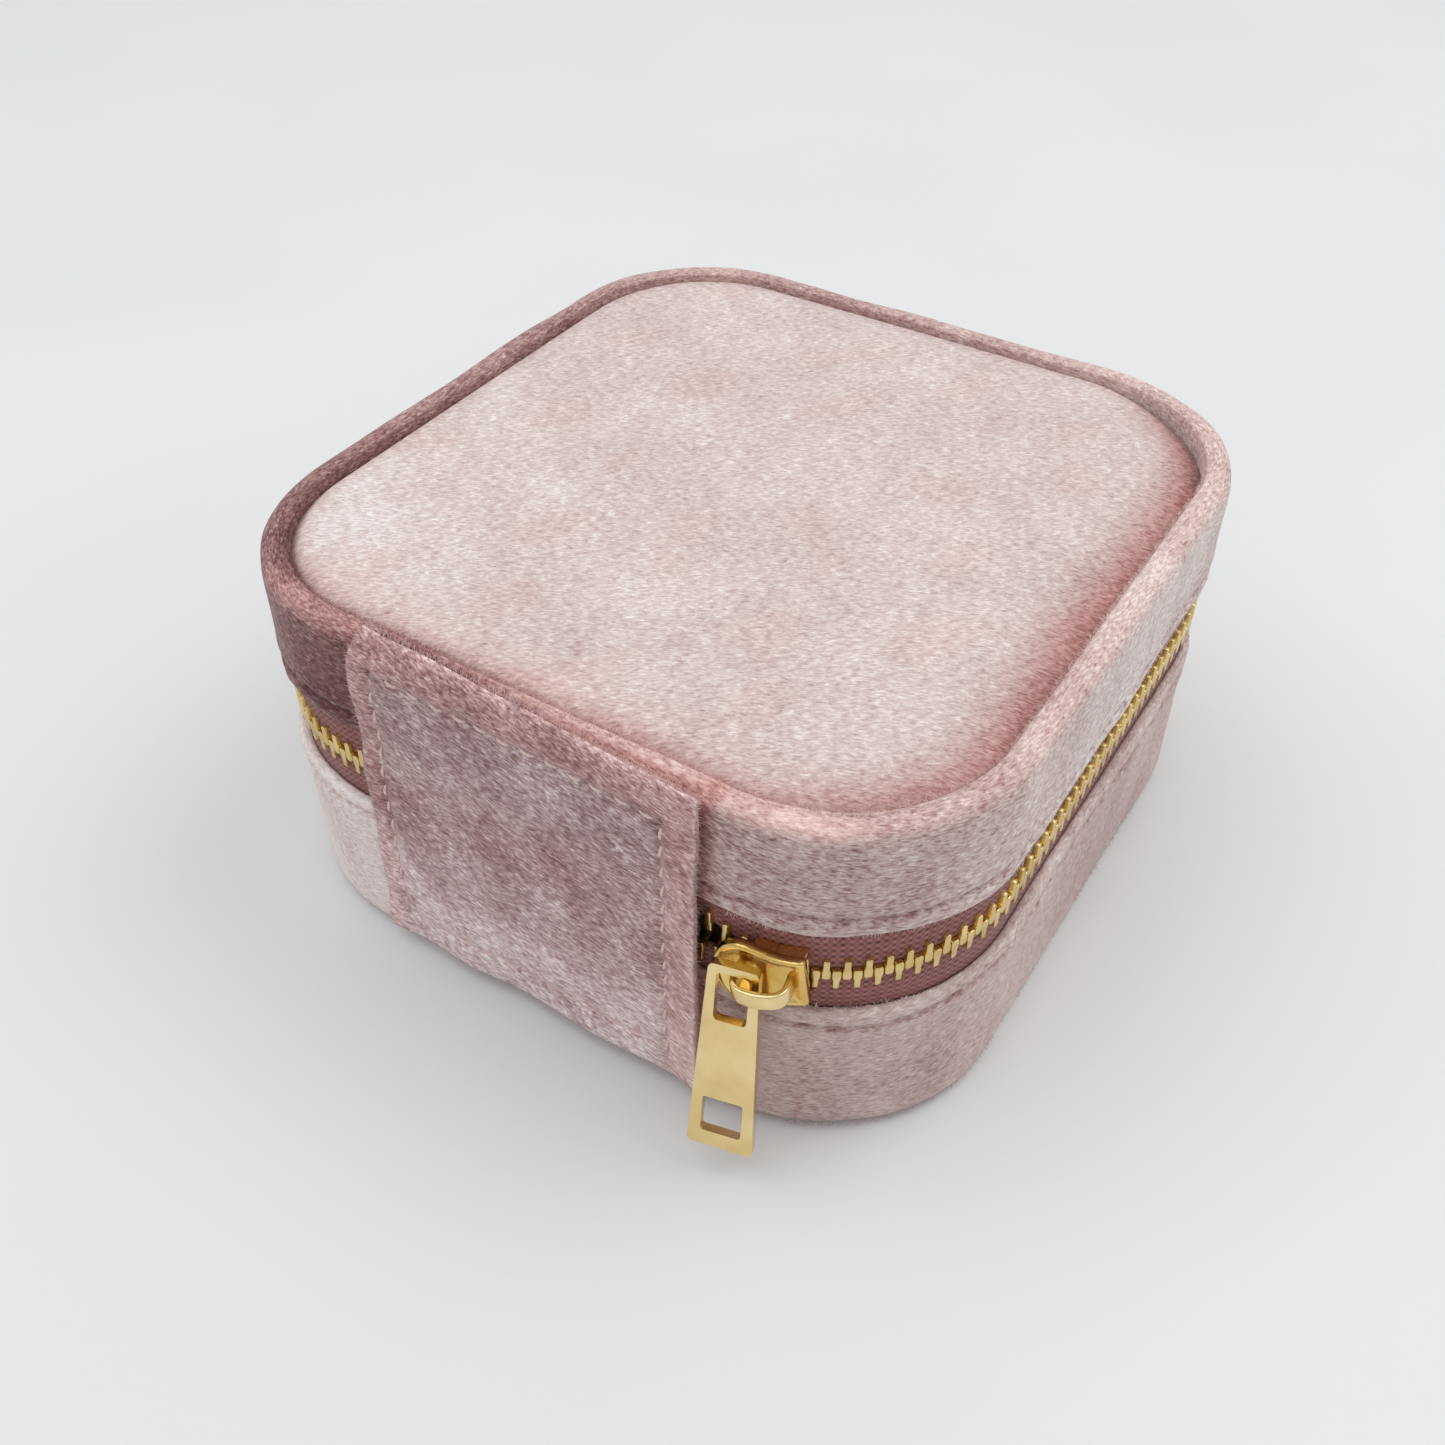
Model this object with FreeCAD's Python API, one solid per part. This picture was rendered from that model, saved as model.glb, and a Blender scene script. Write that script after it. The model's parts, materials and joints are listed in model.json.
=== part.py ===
# Square velvet zip-around jewellery box, closed, standing on its base.
# Millimetres. +Z is up, +Y is the back wall with the hinge patch, and the box opens at -Y.
# The origin is on the floor under the middle of the box.
import FreeCAD
import Part
import math
import os

V = FreeCAD.Vector

# ---- driving dimensions -------------------------------------------------------------
WIDTH = 100.0            # outside, along X
DEPTH = 102.0            # outside, along Y
HEIGHT = 50.5            # floor to the top of the rim
CORNER_R = 24.0          # upright corners, seen from above
EDGE_R = 2.4             # rounding of the rim and of the bottom edge
CHAIN_Z = 29.4           # middle of the zip chain
GAP = 11.8               # open strip between the two hems
BASE_HEM_Z = CHAIN_Z - GAP / 2
LID_HEM_Z = CHAIN_Z + GAP / 2

VELVET = 1.8             # velvet and its wadding
HEM = 1.2                # velvet where the zip tape is tucked behind it
TUCK = 5.2               # depth of that tuck
BOARD_IN, BOARD_OUT = 3.9, 1.9          # insets of the two faces of the wall boards
LINING_IN, LINING_OUT = 4.8, 4.0        # insets of the two faces of the wall linings
FLOOR_CLEAR = 0.2        # the side velvet ends this far above the floor
BOTTOM_T = 1.4           # bottom velvet panel
BOTTOM_INSET = 6.2       # inner edge of the side velvet that is turned under the base
BOARD_T = 2.0            # bottom and top boards
PAD_TOP = 4.6            # top of the pad inside the base
LIP = 3.6                # width of the rim round the sunk top panel
LIP_DEPTH = 5.0          # how far the rim stands above the top board
LIP_BOARD = 2.8          # inset of the lid wall board's inner face
LIP_TOP = 1.45           # velvet over the wall board's top edge
TOP_SINK = 1.5           # how far the top panel lies below the rim

TAPE_OUT, TAPE_IN = 1.3, 1.75           # insets of the two faces of the zip tape
TRACK_INSET = (TAPE_OUT + TAPE_IN) / 2
TAPE_EDGE = 1.0          # tape edge to the middle of the chain
PITCH = 2.14             # tooth to tooth on one tape
TOOTH_T = 0.84           # tooth, along the chain
TOOTH_D = 2.1            # tooth, through the tape
TOOTH_HEAD = 0.7         # how far a head passes the middle of the chain
TOOTH_LEG = 2.2          # how far the legs reach back
HEAD_BACK = 0.9          # back of a head, from the middle of the chain

PATCH_LEFT, PATCH_RIGHT = -24.5, 20.4   # x of the two ends of the hinge patch
PATCH_Z = 2.6            # bottom edge of the patch
PATCH_T = 0.9
PATCH_GAP = 0.1          # patch to the velvet behind it
PATCH_BEND = 58.0        # degrees that its top edge turns over the rim
ZIP_START, ZIP_END = -17.0, 13.5        # x where the teeth start and end behind the patch
TAPE_END = 12.0          # |x| where the tapes end behind the patch

SLIDER_AT = 102.8        # polar angle of the slider about its corner
SLIDER_DROOP = 7.0       # degrees that its nose hangs down, turned about its tail end
SLIDER_SAG = 0.5         # how far its tail end hangs below the chain
PLATE_OUT = 0.35         # gap from the velvet's face to the outer plate
PLATE_T = 1.0
DISH = 0.45              # depth of the outer plate's dished face
CHANNEL = 3.15           # room for the teeth between the plates
BACK_T = 0.9
NOSE_FOOT, TAIL_FOOT = -2.4, 3.4        # feet of the bridge along the slider
BRIDGE_FOOT_T = 1.0
BRIDGE_Z = 2.2           # height of the bridge band
BRIDGE_T = 0.8
BRIDGE_ROOM = 2.1        # clear space under the bridge
TAB_LEAN = 10.6          # degrees that the pull tab leans out
TAB_FACE = 103.5         # polar angle that the pull tab faces
TAB_T = 1.2
TAB_TOP_W, TAB_FOOT_W = 5.6, 7.8
TAB_UP, TAB_DOWN = 2.5, 24.3            # tab above and below its pivot

OUT = "parts"
CORNER = V(-WIDTH / 2 + CORNER_R, DEPTH / 2 - CORNER_R, 0)   # corner that the slider rounds


# ---- shared shapes ------------------------------------------------------------------
def edges_at(shape, z):
    """Edges of the shape that lie flat at height z."""
    near = 1e-4
    return [e for e in shape.Edges if abs(e.BoundBox.ZMin - z) < near and abs(e.BoundBox.ZMax - z) < near]


def slab(inset, z0, z1):
    """The box's outline drawn in by inset, from z0 to z1."""
    hx, hy = WIDTH / 2 - inset, DEPTH / 2 - inset
    block = Part.makeBox(2 * hx, 2 * hy, z1 - z0, V(-hx, -hy, z0))
    upright = [e for e in block.Edges if abs(e.tangentAt(e.FirstParameter).z) > 0.9]
    return block.makeFillet(CORNER_R - inset, upright)


def ring(outer, inner, z0, z1):
    """A wall that follows the outline, between two insets."""
    return slab(outer, z0, z1).cut(slab(inner, z0 - 1, z1 + 1))


def box(x0, x1, y0, y1, z0, z1):
    return Part.makeBox(x1 - x0, y1 - y0, z1 - z0, V(x0, y0, z0))


def prism(points, direction):
    """A closed outline of 3-D points pushed along a direction."""
    return Part.Face(Part.makePolygon(points + points[:1])).extrude(direction)


def shell_of(corner, r0, r1, z0, z1):
    """Upright tube about the slider's corner, between two radii."""
    outer = Part.makeCylinder(r1, z1 - z0, V(corner.x, corner.y, z0))
    return outer.cut(Part.makeCylinder(r0, z1 - z0, V(corner.x, corner.y, z0)))


def radial(angle):
    """Unit vector that points outward at a polar angle, in degrees."""
    a = math.radians(angle)
    return V(math.cos(a), math.sin(a), 0)


def tangent(angle):
    """Unit vector along the chain at that angle, away from the patch."""
    a = math.radians(angle)
    return V(-math.sin(a), math.cos(a), 0)


def tilt(shape, angle, point, axis):
    turned = shape.copy()
    turned.rotate(point, axis, angle)
    return turned


# ---- base ---------------------------------------------------------------------------
def base_velvet_cover():
    cover = slab(0, FLOOR_CLEAR, BASE_HEM_Z)
    cover = cover.makeFillet(EDGE_R, edges_at(cover, FLOOR_CLEAR))
    cover = cover.cut(slab(VELVET, BOTTOM_T, BASE_HEM_Z))
    cover = cover.cut(slab(HEM, BASE_HEM_Z - TUCK, BASE_HEM_Z))
    return cover.cut(slab(BOTTOM_INSET, 0, BOTTOM_T))


def base_bottom_velvet():
    return slab(BOTTOM_INSET + 0.1, 0, BOTTOM_T)


def base_bottom_board():
    return slab(BOARD_OUT, BOTTOM_T, BOTTOM_T + BOARD_T)


def base_wall_board():
    return ring(BOARD_OUT, BOARD_IN, BOTTOM_T + BOARD_T, BASE_HEM_Z - 0.5)


def base_floor_pad():
    return slab(LINING_OUT, BOTTOM_T + BOARD_T, PAD_TOP)


def base_lining_wall():
    return ring(LINING_OUT, LINING_IN, PAD_TOP, BASE_HEM_Z - 0.7)


# ---- what stands in the base --------------------------------------------------------
FIT_OUT = 5.8            # inset that the loose inner pieces keep to
DIVIDER_T = 2.4
DIVIDER_TOP = 20.5
ROLL_TOP = 17.0
ROLLS = 5
ROLL_T = 8.6             # one ring roll, front to back
ROLL_STEP = 8.8
FRONT_CELL = -0.5        # y of the middle of the cross dividers


def cross_divider(x0, x1):
    y0 = FRONT_CELL - DIVIDER_T / 2
    return box(x0, x1, y0, y0 + DIVIDER_T, PAD_TOP, DIVIDER_TOP).common(slab(FIT_OUT, 0, HEIGHT))


def divider_long():
    half = DIVIDER_T / 2
    return box(-half, half, -DEPTH, DEPTH, PAD_TOP, DIVIDER_TOP).common(slab(FIT_OUT, 0, HEIGHT))


def ring_roll(index):
    """A soft bar with a domed top; rings are pushed down between two of them."""
    back = FRONT_CELL - DIVIDER_T / 2 - 0.1 - index * ROLL_STEP
    front = back - ROLL_T
    shoulder = ROLL_TOP - ROLL_T / 2
    radius = ROLL_T / 2
    bar = box(-WIDTH, -DIVIDER_T / 2 - 0.1, front, back, PAD_TOP, shoulder)
    dome = Part.makeCylinder(radius, 2 * WIDTH, V(-WIDTH, front + radius, shoulder), V(1, 0, 0))
    dome = dome.common(box(-WIDTH, -DIVIDER_T / 2 - 0.1, front, back, shoulder - 1, ROLL_TOP + 1))
    return bar.fuse(dome).common(slab(FIT_OUT, 0, HEIGHT)).removeSplitter()


# ---- zip ----------------------------------------------------------------------------
def track_length():
    return ZIP_START - ZIP_END + 2 * (WIDTH - 2 * CORNER_R) + 2 * (DEPTH - 2 * CORNER_R) \
        + 2 * math.pi * (CORNER_R - TRACK_INSET)


def track(s):
    """Place on the chain's middle line, s from its start: x, y and the outward angle in degrees."""
    hx, hy, r = WIDTH / 2, DEPTH / 2, CORNER_R
    flat_x, flat_y, arc = 2 * (hx - r), 2 * (hy - r), math.pi / 2 * (r - TRACK_INSET)
    reach = r - TRACK_INSET
    legs = [(ZIP_START + hx - r, 0), (arc, 1), (flat_y, 0), (arc, 1), (flat_x, 0), (arc, 1), (flat_y, 0),
            (arc, 1), (flat_x, 0)]
    corners = [(-hx + r, hy - r), (-hx + r, -hy + r), (hx - r, -hy + r), (hx - r, hy - r)]
    angle, side = 90.0, 0
    point = V(ZIP_START, hy - TRACK_INSET, 0)
    for length, bends in legs:
        part = min(s, length)
        if bends:
            turn = math.degrees(part / reach)
            centre = V(corners[side][0], corners[side][1], 0)
            here = centre + radial(angle + turn) * reach
            if s <= length:
                return here.x, here.y, angle + turn
            angle += 90.0
            side += 1
            point = centre + radial(angle) * reach
        else:
            here = point + tangent(angle) * part
            if s <= length:
                return here.x, here.y, angle
            point = here
        s -= length
    return point.x, point.y, angle


SPREAD = 0.29            # slope at which the open rows part, ahead of the slider
SPREAD_MAX = 3.0
JUNCTION_S = ZIP_START + WIDTH / 2 - CORNER_R + math.radians(SLIDER_AT - 90) * (CORNER_R - TRACK_INSET)


def spread(s):
    """How far a row has moved from the closed chain at s."""
    return min(SPREAD_MAX, max(0.0, SPREAD * (JUNCTION_S - s)))


def tooth(up):
    """One tooth at the origin, chain along X: a head, and two legs that grip the tape."""
    half, slot = TOOTH_D / 2, 0.35
    outline = [(-half, -TOOTH_LEG), (-slot, -TOOTH_LEG), (-slot, -HEAD_BACK), (slot, -HEAD_BACK),
               (slot, -TOOTH_LEG), (half, -TOOTH_LEG), (half, TOOTH_HEAD), (-half, TOOTH_HEAD)]
    points = [V(-TOOTH_T / 2, y, up * z) for y, z in outline]
    return prism(points, V(TOOTH_T, 0, 0))


def zip_teeth(up, first):
    """One row of teeth; up is 1 for the base's row and -1 for the lid's."""
    master = tooth(up)
    teeth = []
    for index in range(int((track_length() - first) / PITCH)):
        s = first + index * PITCH
        x, y, angle = track(s)
        one = tilt(master, angle - 90, V(0, 0, 0), V(0, 0, 1))
        one.translate(V(x, y, CHAIN_Z - up * spread(s)))
        teeth.append(one)
    return Part.makeCompound(teeth)


def zip_tape(z0, z1):
    """Tape ring, open at the middle of the back wall."""
    tape = ring(TAPE_OUT, TAPE_IN, z0, z1)
    return tape.cut(box(-TAPE_END, TAPE_END, 0, DEPTH, 0, HEIGHT))


def spread_wedge(up):
    """What the base's tape (up 1) or the lid's (up -1) gives way by where the rows part."""
    edge = CHAIN_Z - up * TAPE_EDGE
    x_open, _, _ = track(JUNCTION_S)
    x_full, _, _ = track(JUNCTION_S - SPREAD_MAX / SPREAD)
    low = edge - up * (SPREAD_MAX + 0.2)
    points = [V(x_open, 0, edge), V(x_full, 0, low), V(0, 0, low), V(0, 0, edge + up), V(x_open, 0, edge + up)]
    return prism(points, V(0, DEPTH, 0))


def zip_tape_base():
    return zip_tape(BASE_HEM_Z - TUCK + 0.2, CHAIN_Z - TAPE_EDGE).cut(spread_wedge(1))


def zip_tape_lid():
    return zip_tape(CHAIN_Z + TAPE_EDGE, LID_HEM_Z + TUCK - 0.2).cut(spread_wedge(-1))


def clamp(x, z0, z1):
    """A stop squeezed round the tape's edge behind the patch."""
    y = DEPTH / 2 - TRACK_INSET
    block = box(x - 1.1, x + 1.1, y - 1.0, y + 1.0, z0, z1)
    return block.cut(box(x - 2, x + 2, y - 0.3, y + 0.3, z0 - 1, z1 + 1))


def zip_top_stop(up):
    """Two cheeks and a cap that end one row of teeth."""
    y = DEPTH / 2 - TRACK_INSET
    x = ZIP_START + 2.6
    edge = CHAIN_Z - up * (TAPE_EDGE + SPREAD_MAX)
    low, high = sorted((edge - up * 1.6, edge + up * 0.1))
    cap_low, cap_high = sorted((edge + up * 0.1, edge + up * 0.7))
    return clamp(x, low, high).fuse(box(x - 1.1, x + 1.1, y - 1.0, y + 1.0, cap_low, cap_high)).removeSplitter()


def zip_bottom_stop():
    """The staple that holds both tapes together where the chain ends."""
    y = DEPTH / 2 - TRACK_INSET
    x = ZIP_END - 0.2 - 1.1
    bar = box(x - 1.1, x + 1.1, y - 1.0, y + 1.0, CHAIN_Z - 0.9, CHAIN_Z + 0.9)
    jaws = [clamp(x, CHAIN_Z - TOOTH_LEG, CHAIN_Z - 0.9), clamp(x, CHAIN_Z + 0.9, CHAIN_Z + TOOTH_LEG)]
    return bar.fuse(jaws).removeSplitter()


# ---- hinge --------------------------------------------------------------------------
def patch_section(inner, outer, z0):
    """Side view of a cloth that climbs the back wall and turns over the rim, as a wire."""
    wall, centre_z = DEPTH / 2 - EDGE_R, HEIGHT - EDGE_R
    bend = math.radians(PATCH_BEND)

    def at(r, a):
        return V(0, wall + r * math.cos(a), centre_z + r * math.sin(a))

    r0, r1 = EDGE_R + inner, EDGE_R + outer
    edges = [
        Part.LineSegment(V(0, wall + r1, z0), at(r1, 0)),
        Part.Arc(at(r1, 0), at(r1, bend / 2), at(r1, bend)),
        Part.LineSegment(at(r1, bend), at(r0, bend)),
        Part.Arc(at(r0, bend), at(r0, bend / 2), at(r0, 0)),
        Part.LineSegment(at(r0, 0), V(0, wall + r0, z0)),
        Part.LineSegment(V(0, wall + r0, z0), V(0, wall + r1, z0)),
    ]
    return Part.Wire([e.toShape() for e in edges])


def hinge_patch():
    """Velvet patch that spans both halves of the box and is its outer hinge."""
    face = Part.Face(patch_section(PATCH_GAP, PATCH_GAP + PATCH_T, PATCH_Z))
    patch = face.extrude(V(PATCH_RIGHT - PATCH_LEFT, 0, 0))
    patch.translate(V(PATCH_LEFT, 0, 0))
    return patch


STITCH_L, STITCH_STEP = 2.9, 3.6        # one stitch and the step to the next
STITCH_W, STITCH_T = 0.5, 0.3
SEAM_X = (-20.2, 17.9)                  # upright seams of the patch
SEAM_Z = (6.8, 45.6)                    # level seams of the patch


def patch_stitching(low, high):
    """The patch's seam stitches whose middles lie between two heights."""
    y = DEPTH / 2 + PATCH_GAP + PATCH_T
    stitches = []
    rows = int((SEAM_Z[1] - SEAM_Z[0]) / STITCH_STEP)
    for x in SEAM_X:
        for row in range(rows):
            z = SEAM_Z[0] + (row + 0.5) * STITCH_STEP
            if low < z < high:
                stitches.append(box(x - STITCH_W / 2, x + STITCH_W / 2, y, y + STITCH_T,
                                    z - STITCH_L / 2, z + STITCH_L / 2))
    columns = int((SEAM_X[1] - SEAM_X[0]) / STITCH_STEP)
    for z in SEAM_Z:
        if not low < z < high:
            continue
        for column in range(columns):
            x = SEAM_X[0] + (column + 0.5) * STITCH_STEP
            stitches.append(box(x - STITCH_L / 2, x + STITCH_L / 2, y, y + STITCH_T,
                                z - STITCH_W / 2, z + STITCH_W / 2))
    return Part.makeCompound(stitches)


HINGE_LINING_X = 25.0    # half the length of the inner hinge strip


def hinge_lining():
    """Cloth strip inside the back wall, glued to both linings."""
    return box(-HINGE_LINING_X, HINGE_LINING_X, DEPTH / 2 - FIT_OUT + 0.1, DEPTH / 2 - LINING_IN - 0.1,
               BASE_HEM_Z - 8.0, LID_HEM_Z + 6.0)


HEM_STITCH_L = 2.2
HEM_SEAM = 2.6           # seam to the edge of the hem


def hem_stitching(z):
    """Stitches all round a hem, outside the velvet, apart from the stretch under the patch."""
    stitches = []
    reach = CORNER_R + 0.02
    length = 2 * (WIDTH + DEPTH - 4 * CORNER_R) + 2 * math.pi * CORNER_R
    count = int(length / STITCH_STEP)
    for index in range(count):
        x, y, angle = outline_at(index * length / count, reach)
        if y > 0 and PATCH_LEFT - STITCH_STEP < x < PATCH_RIGHT + STITCH_STEP and angle % 360 == 90:
            continue
        one = box(-HEM_STITCH_L / 2, HEM_STITCH_L / 2, 0, STITCH_T / 2, -STITCH_W / 2, STITCH_W / 2)
        one.rotate(V(0, 0, 0), V(0, 0, 1), angle - 90)
        one.translate(V(x, y, z))
        stitches.append(one)
    return Part.makeCompound(stitches)


def outline_at(s, reach):
    """Point and outward angle at s round the outline, s from the middle of the back wall."""
    flats = [WIDTH / 2 - CORNER_R, DEPTH - 2 * CORNER_R, WIDTH - 2 * CORNER_R, DEPTH - 2 * CORNER_R,
             WIDTH / 2 - CORNER_R]
    hx, hy = WIDTH / 2 - CORNER_R, DEPTH / 2 - CORNER_R
    corners = [V(-hx, hy, 0), V(-hx, -hy, 0), V(hx, -hy, 0), V(hx, hy, 0)]
    starts = [V(0, hy, 0)] + corners
    arc = math.pi / 2 * CORNER_R
    for leg, flat in enumerate(flats):
        angle = 90.0 + 90.0 * leg
        if s <= flat:
            here = starts[leg] + radial(angle) * reach + tangent(angle) * s
            return here.x, here.y, angle
        s -= flat
        if s <= arc:
            turn = angle + math.degrees(s / CORNER_R)
            here = corners[leg] + radial(turn) * reach
            return here.x, here.y, turn
        s -= arc
    return 0.0, hy + reach, 90.0


# ---- lid ----------------------------------------------------------------------------
LID_BOARD_TOP = HEIGHT - LIP_DEPTH      # the rim rises above the top board from here
FOAM_T = 2.1
LINING_T = 0.8


def lid_velvet_cover():
    """Side velvet that climbs the wall board, turns over its top edge and comes down inside the rim."""
    cover = slab(0, LID_HEM_Z, HEIGHT)
    cover = cover.makeFillet(EDGE_R, edges_at(cover, HEIGHT))
    cover = cover.cut(slab(VELVET, LID_HEM_Z, LID_BOARD_TOP))
    cover = cover.cut(slab(HEM, LID_HEM_Z, LID_HEM_Z + TUCK))
    cover = cover.cut(slab(LIP, LID_BOARD_TOP - 1, HEIGHT))
    return cover.cut(ring(VELVET, LIP_BOARD + 0.05, LID_BOARD_TOP - 1, HEIGHT - LIP_TOP))


MIRROR_T = 1.5
MIRROR = 62.0            # side of the square mirror
MIRROR_R = 8.0


def lid_top_board():
    return slab(LIP_BOARD + 0.1, LID_BOARD_TOP - BOARD_T, LID_BOARD_TOP)


def lid_wall_board():
    """Thin wall board that runs up into the rim and holds it proud of the top panel."""
    return ring(BOARD_OUT, LIP_BOARD, LID_HEM_Z + 0.6, HEIGHT - LIP_TOP - 0.05)


def lid_top_foam():
    return slab(LIP + 0.2, LID_BOARD_TOP, LID_BOARD_TOP + FOAM_T)


def lid_top_velvet():
    panel = slab(LIP + 0.2, LID_BOARD_TOP + FOAM_T, HEIGHT - TOP_SINK)
    return panel.makeFillet(0.9, edges_at(panel, HEIGHT - TOP_SINK))


def lid_lining_panel():
    top = LID_BOARD_TOP - BOARD_T
    return slab(LIP_BOARD + 0.1, top - LINING_T, top)


def lid_lining_wall():
    inset = LIP_BOARD + 0.1
    return ring(inset, inset + LINING_T, LID_HEM_Z + 0.7, LID_BOARD_TOP - BOARD_T - LINING_T)


def lid_mirror():
    top = LID_BOARD_TOP - BOARD_T - LINING_T
    half = MIRROR / 2
    glass = box(-half, half, -half, half, top - MIRROR_T, top)
    upright = [e for e in glass.Edges if abs(e.tangentAt(e.FirstParameter).z) > 0.9]
    return glass.makeFillet(MIRROR_R, upright)


# ---- slider and pull tab ------------------------------------------------------------
PLATE_FACE = CORNER_R + PLATE_OUT       # radius of the outer plate's inner face
TAIL_END = 5.0
SHIELD = [(TAIL_END, 3.4), (1.8, 3.75), (0.0, 4.4), (-1.6, 4.8), (-2.6, 4.6), (-3.9, 3.8), (-4.9, 2.2),
          (-5.4, 0.9)]
BACK_SHIELD = [(TAIL_END, 3.35), (1.8, 3.7), (-0.6, 4.2), (-2.6, 4.2), (-3.9, 3.5), (-4.9, 2.2), (-5.3, 0.9)]
FLANGE_OUT = [(TAIL_END, 3.35), (1.8, 3.7), (-0.6, 4.2)]
FLANGE_IN = [(-0.6, 3.75), (1.8, 3.28), (TAIL_END, 2.9)]
POST = [(-4.0, 1.73), (-5.0, 2.13), (-5.0, 1.33), (-4.0, 1.49)]
POCKET = 0.8             # size of the dished part, against the whole plate


def slider_place(u, z):
    """Slider coordinates (u towards the tail, z across) to distance along the chain and height from it."""
    droop = math.radians(SLIDER_DROOP)
    along = TAIL_END + (u - TAIL_END) * math.cos(droop) - z * math.sin(droop)
    return along, (u - TAIL_END) * math.sin(droop) + z * math.cos(droop) - SLIDER_SAG


def slider_point(radius, u, z):
    """A point of the slider that lies at the radius from the corner's axis."""
    along, up = slider_place(u, z)
    out = math.sqrt(radius ** 2 - along ** 2)
    return CORNER + radial(SLIDER_AT) * out + tangent(SLIDER_AT) * along + V(0, 0, CHAIN_Z + up)


def through_slider(outline):
    """An outline of (u, z) pushed right through the slider, from inside to outside."""
    points = []
    for u, z in outline:
        along, up = slider_place(u, z)
        points.append(CORNER + radial(SLIDER_AT) * 15 + tangent(SLIDER_AT) * along + V(0, 0, CHAIN_Z + up))
    return prism(points, radial(SLIDER_AT) * 15)


def mirrored(outline):
    return outline + [(u, -z) for u, z in reversed(outline)]


def slider_layer(inner, outer, outline):
    """A layer of the slider between two radii from the corner's axis, cut to an outline."""
    return shell_of(CORNER, inner, outer, CHAIN_Z - 9, CHAIN_Z + 9).common(through_slider(outline))


def slider_body():
    """Two plates joined by the nose post, with flanges that hold the rows of teeth in."""
    back = PLATE_FACE - CHANNEL
    front = PLATE_FACE + PLATE_T
    pocket = slider_layer(front - DISH, front + 1, mirrored([(u * POCKET, z * POCKET) for u, z in SHIELD]))
    plate = slider_layer(PLATE_FACE, front, mirrored(SHIELD)).cut(pocket)
    back_plate = slider_layer(back - BACK_T, back, mirrored(BACK_SHIELD))
    post = slider_layer(back, PLATE_FACE, POST)
    lip_depth = CORNER_R - TAPE_OUT + 0.15
    lip_inside = CORNER_R - TAPE_IN - 0.15
    body = plate.fuse([back_plate, post])
    for side in (1, -1):
        edge = [(u, side * z) for u, z in FLANGE_OUT + FLANGE_IN]
        body = body.fuse([slider_layer(lip_depth, PLATE_FACE, edge), slider_layer(back, lip_inside, edge)])
    return body.removeSplitter()


def slider_bridge():
    """Arched band over the outer plate that carries the pull tab. Its feet stand on the dished face."""
    floor = PLATE_FACE + PLATE_T - DISH
    crown = PLATE_FACE + PLATE_T + BRIDGE_ROOM
    half, foot = BRIDGE_Z / 2, BRIDGE_FOOT_T / 2

    def stretch(inner, u0, u1):
        return slider_layer(inner, crown + BRIDGE_T, [(u0, -half), (u1, -half), (u1, half), (u0, half)])

    band = stretch(crown, NOSE_FOOT - foot, TAIL_FOOT + foot)
    legs = [stretch(floor, u - foot, u + foot) for u in (NOSE_FOOT, TAIL_FOOT)]
    return band.fuse(legs).removeSplitter()


TAB_HOOK = PLATE_FACE + PLATE_T + 1.18  # radius of the tab's middle plane at its pivot
HOLE_W, HOLE_UP, HOLE_DOWN = 3.7, 1.5, 5.2          # upper hole, about the pivot
EYE_W, EYE_TOP, EYE_FOOT = 4.7, 16.8, 22.1          # square eye near the tab's foot
TAB_ROUND = 0.6


def tab_frame():
    """Pivot point, and the tab's outward, downward and sideways directions."""
    lean = math.radians(TAB_LEAN)
    out = radial(TAB_FACE) * math.cos(lean) + V(0, 0, math.sin(lean))
    down = radial(TAB_FACE) * math.sin(lean) - V(0, 0, math.cos(lean))
    return slider_point(TAB_HOOK, NOSE_FOOT, 0), out, down, tangent(TAB_FACE)


def pull_tab():
    pivot, out, down, side = tab_frame()

    def plate(outline, radius):
        points = [pivot + side * u + down * d - out * (TAB_T / 2) for u, d in outline]
        solid = prism(points, out * TAB_T)
        across = [e for e in solid.Edges if abs(abs(e.tangentAt(e.FirstParameter).dot(out)) - 1) < 1e-3]
        return solid.makeFillet(radius, across)

    top, foot = TAB_TOP_W / 2, TAB_FOOT_W / 2
    tab = plate([(-top, -TAB_UP), (top, -TAB_UP), (foot, TAB_DOWN), (-foot, TAB_DOWN)], TAB_ROUND)
    hole, eye = HOLE_W / 2, EYE_W / 2
    tab = tab.cut(plate([(-hole, -HOLE_UP), (hole, -HOLE_UP), (hole, HOLE_DOWN), (-hole, HOLE_DOWN)], TAB_ROUND))
    return tab.cut(plate([(-eye, EYE_TOP), (eye, EYE_TOP), (eye, EYE_FOOT), (-eye, EYE_FOOT)], TAB_ROUND / 2))


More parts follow.
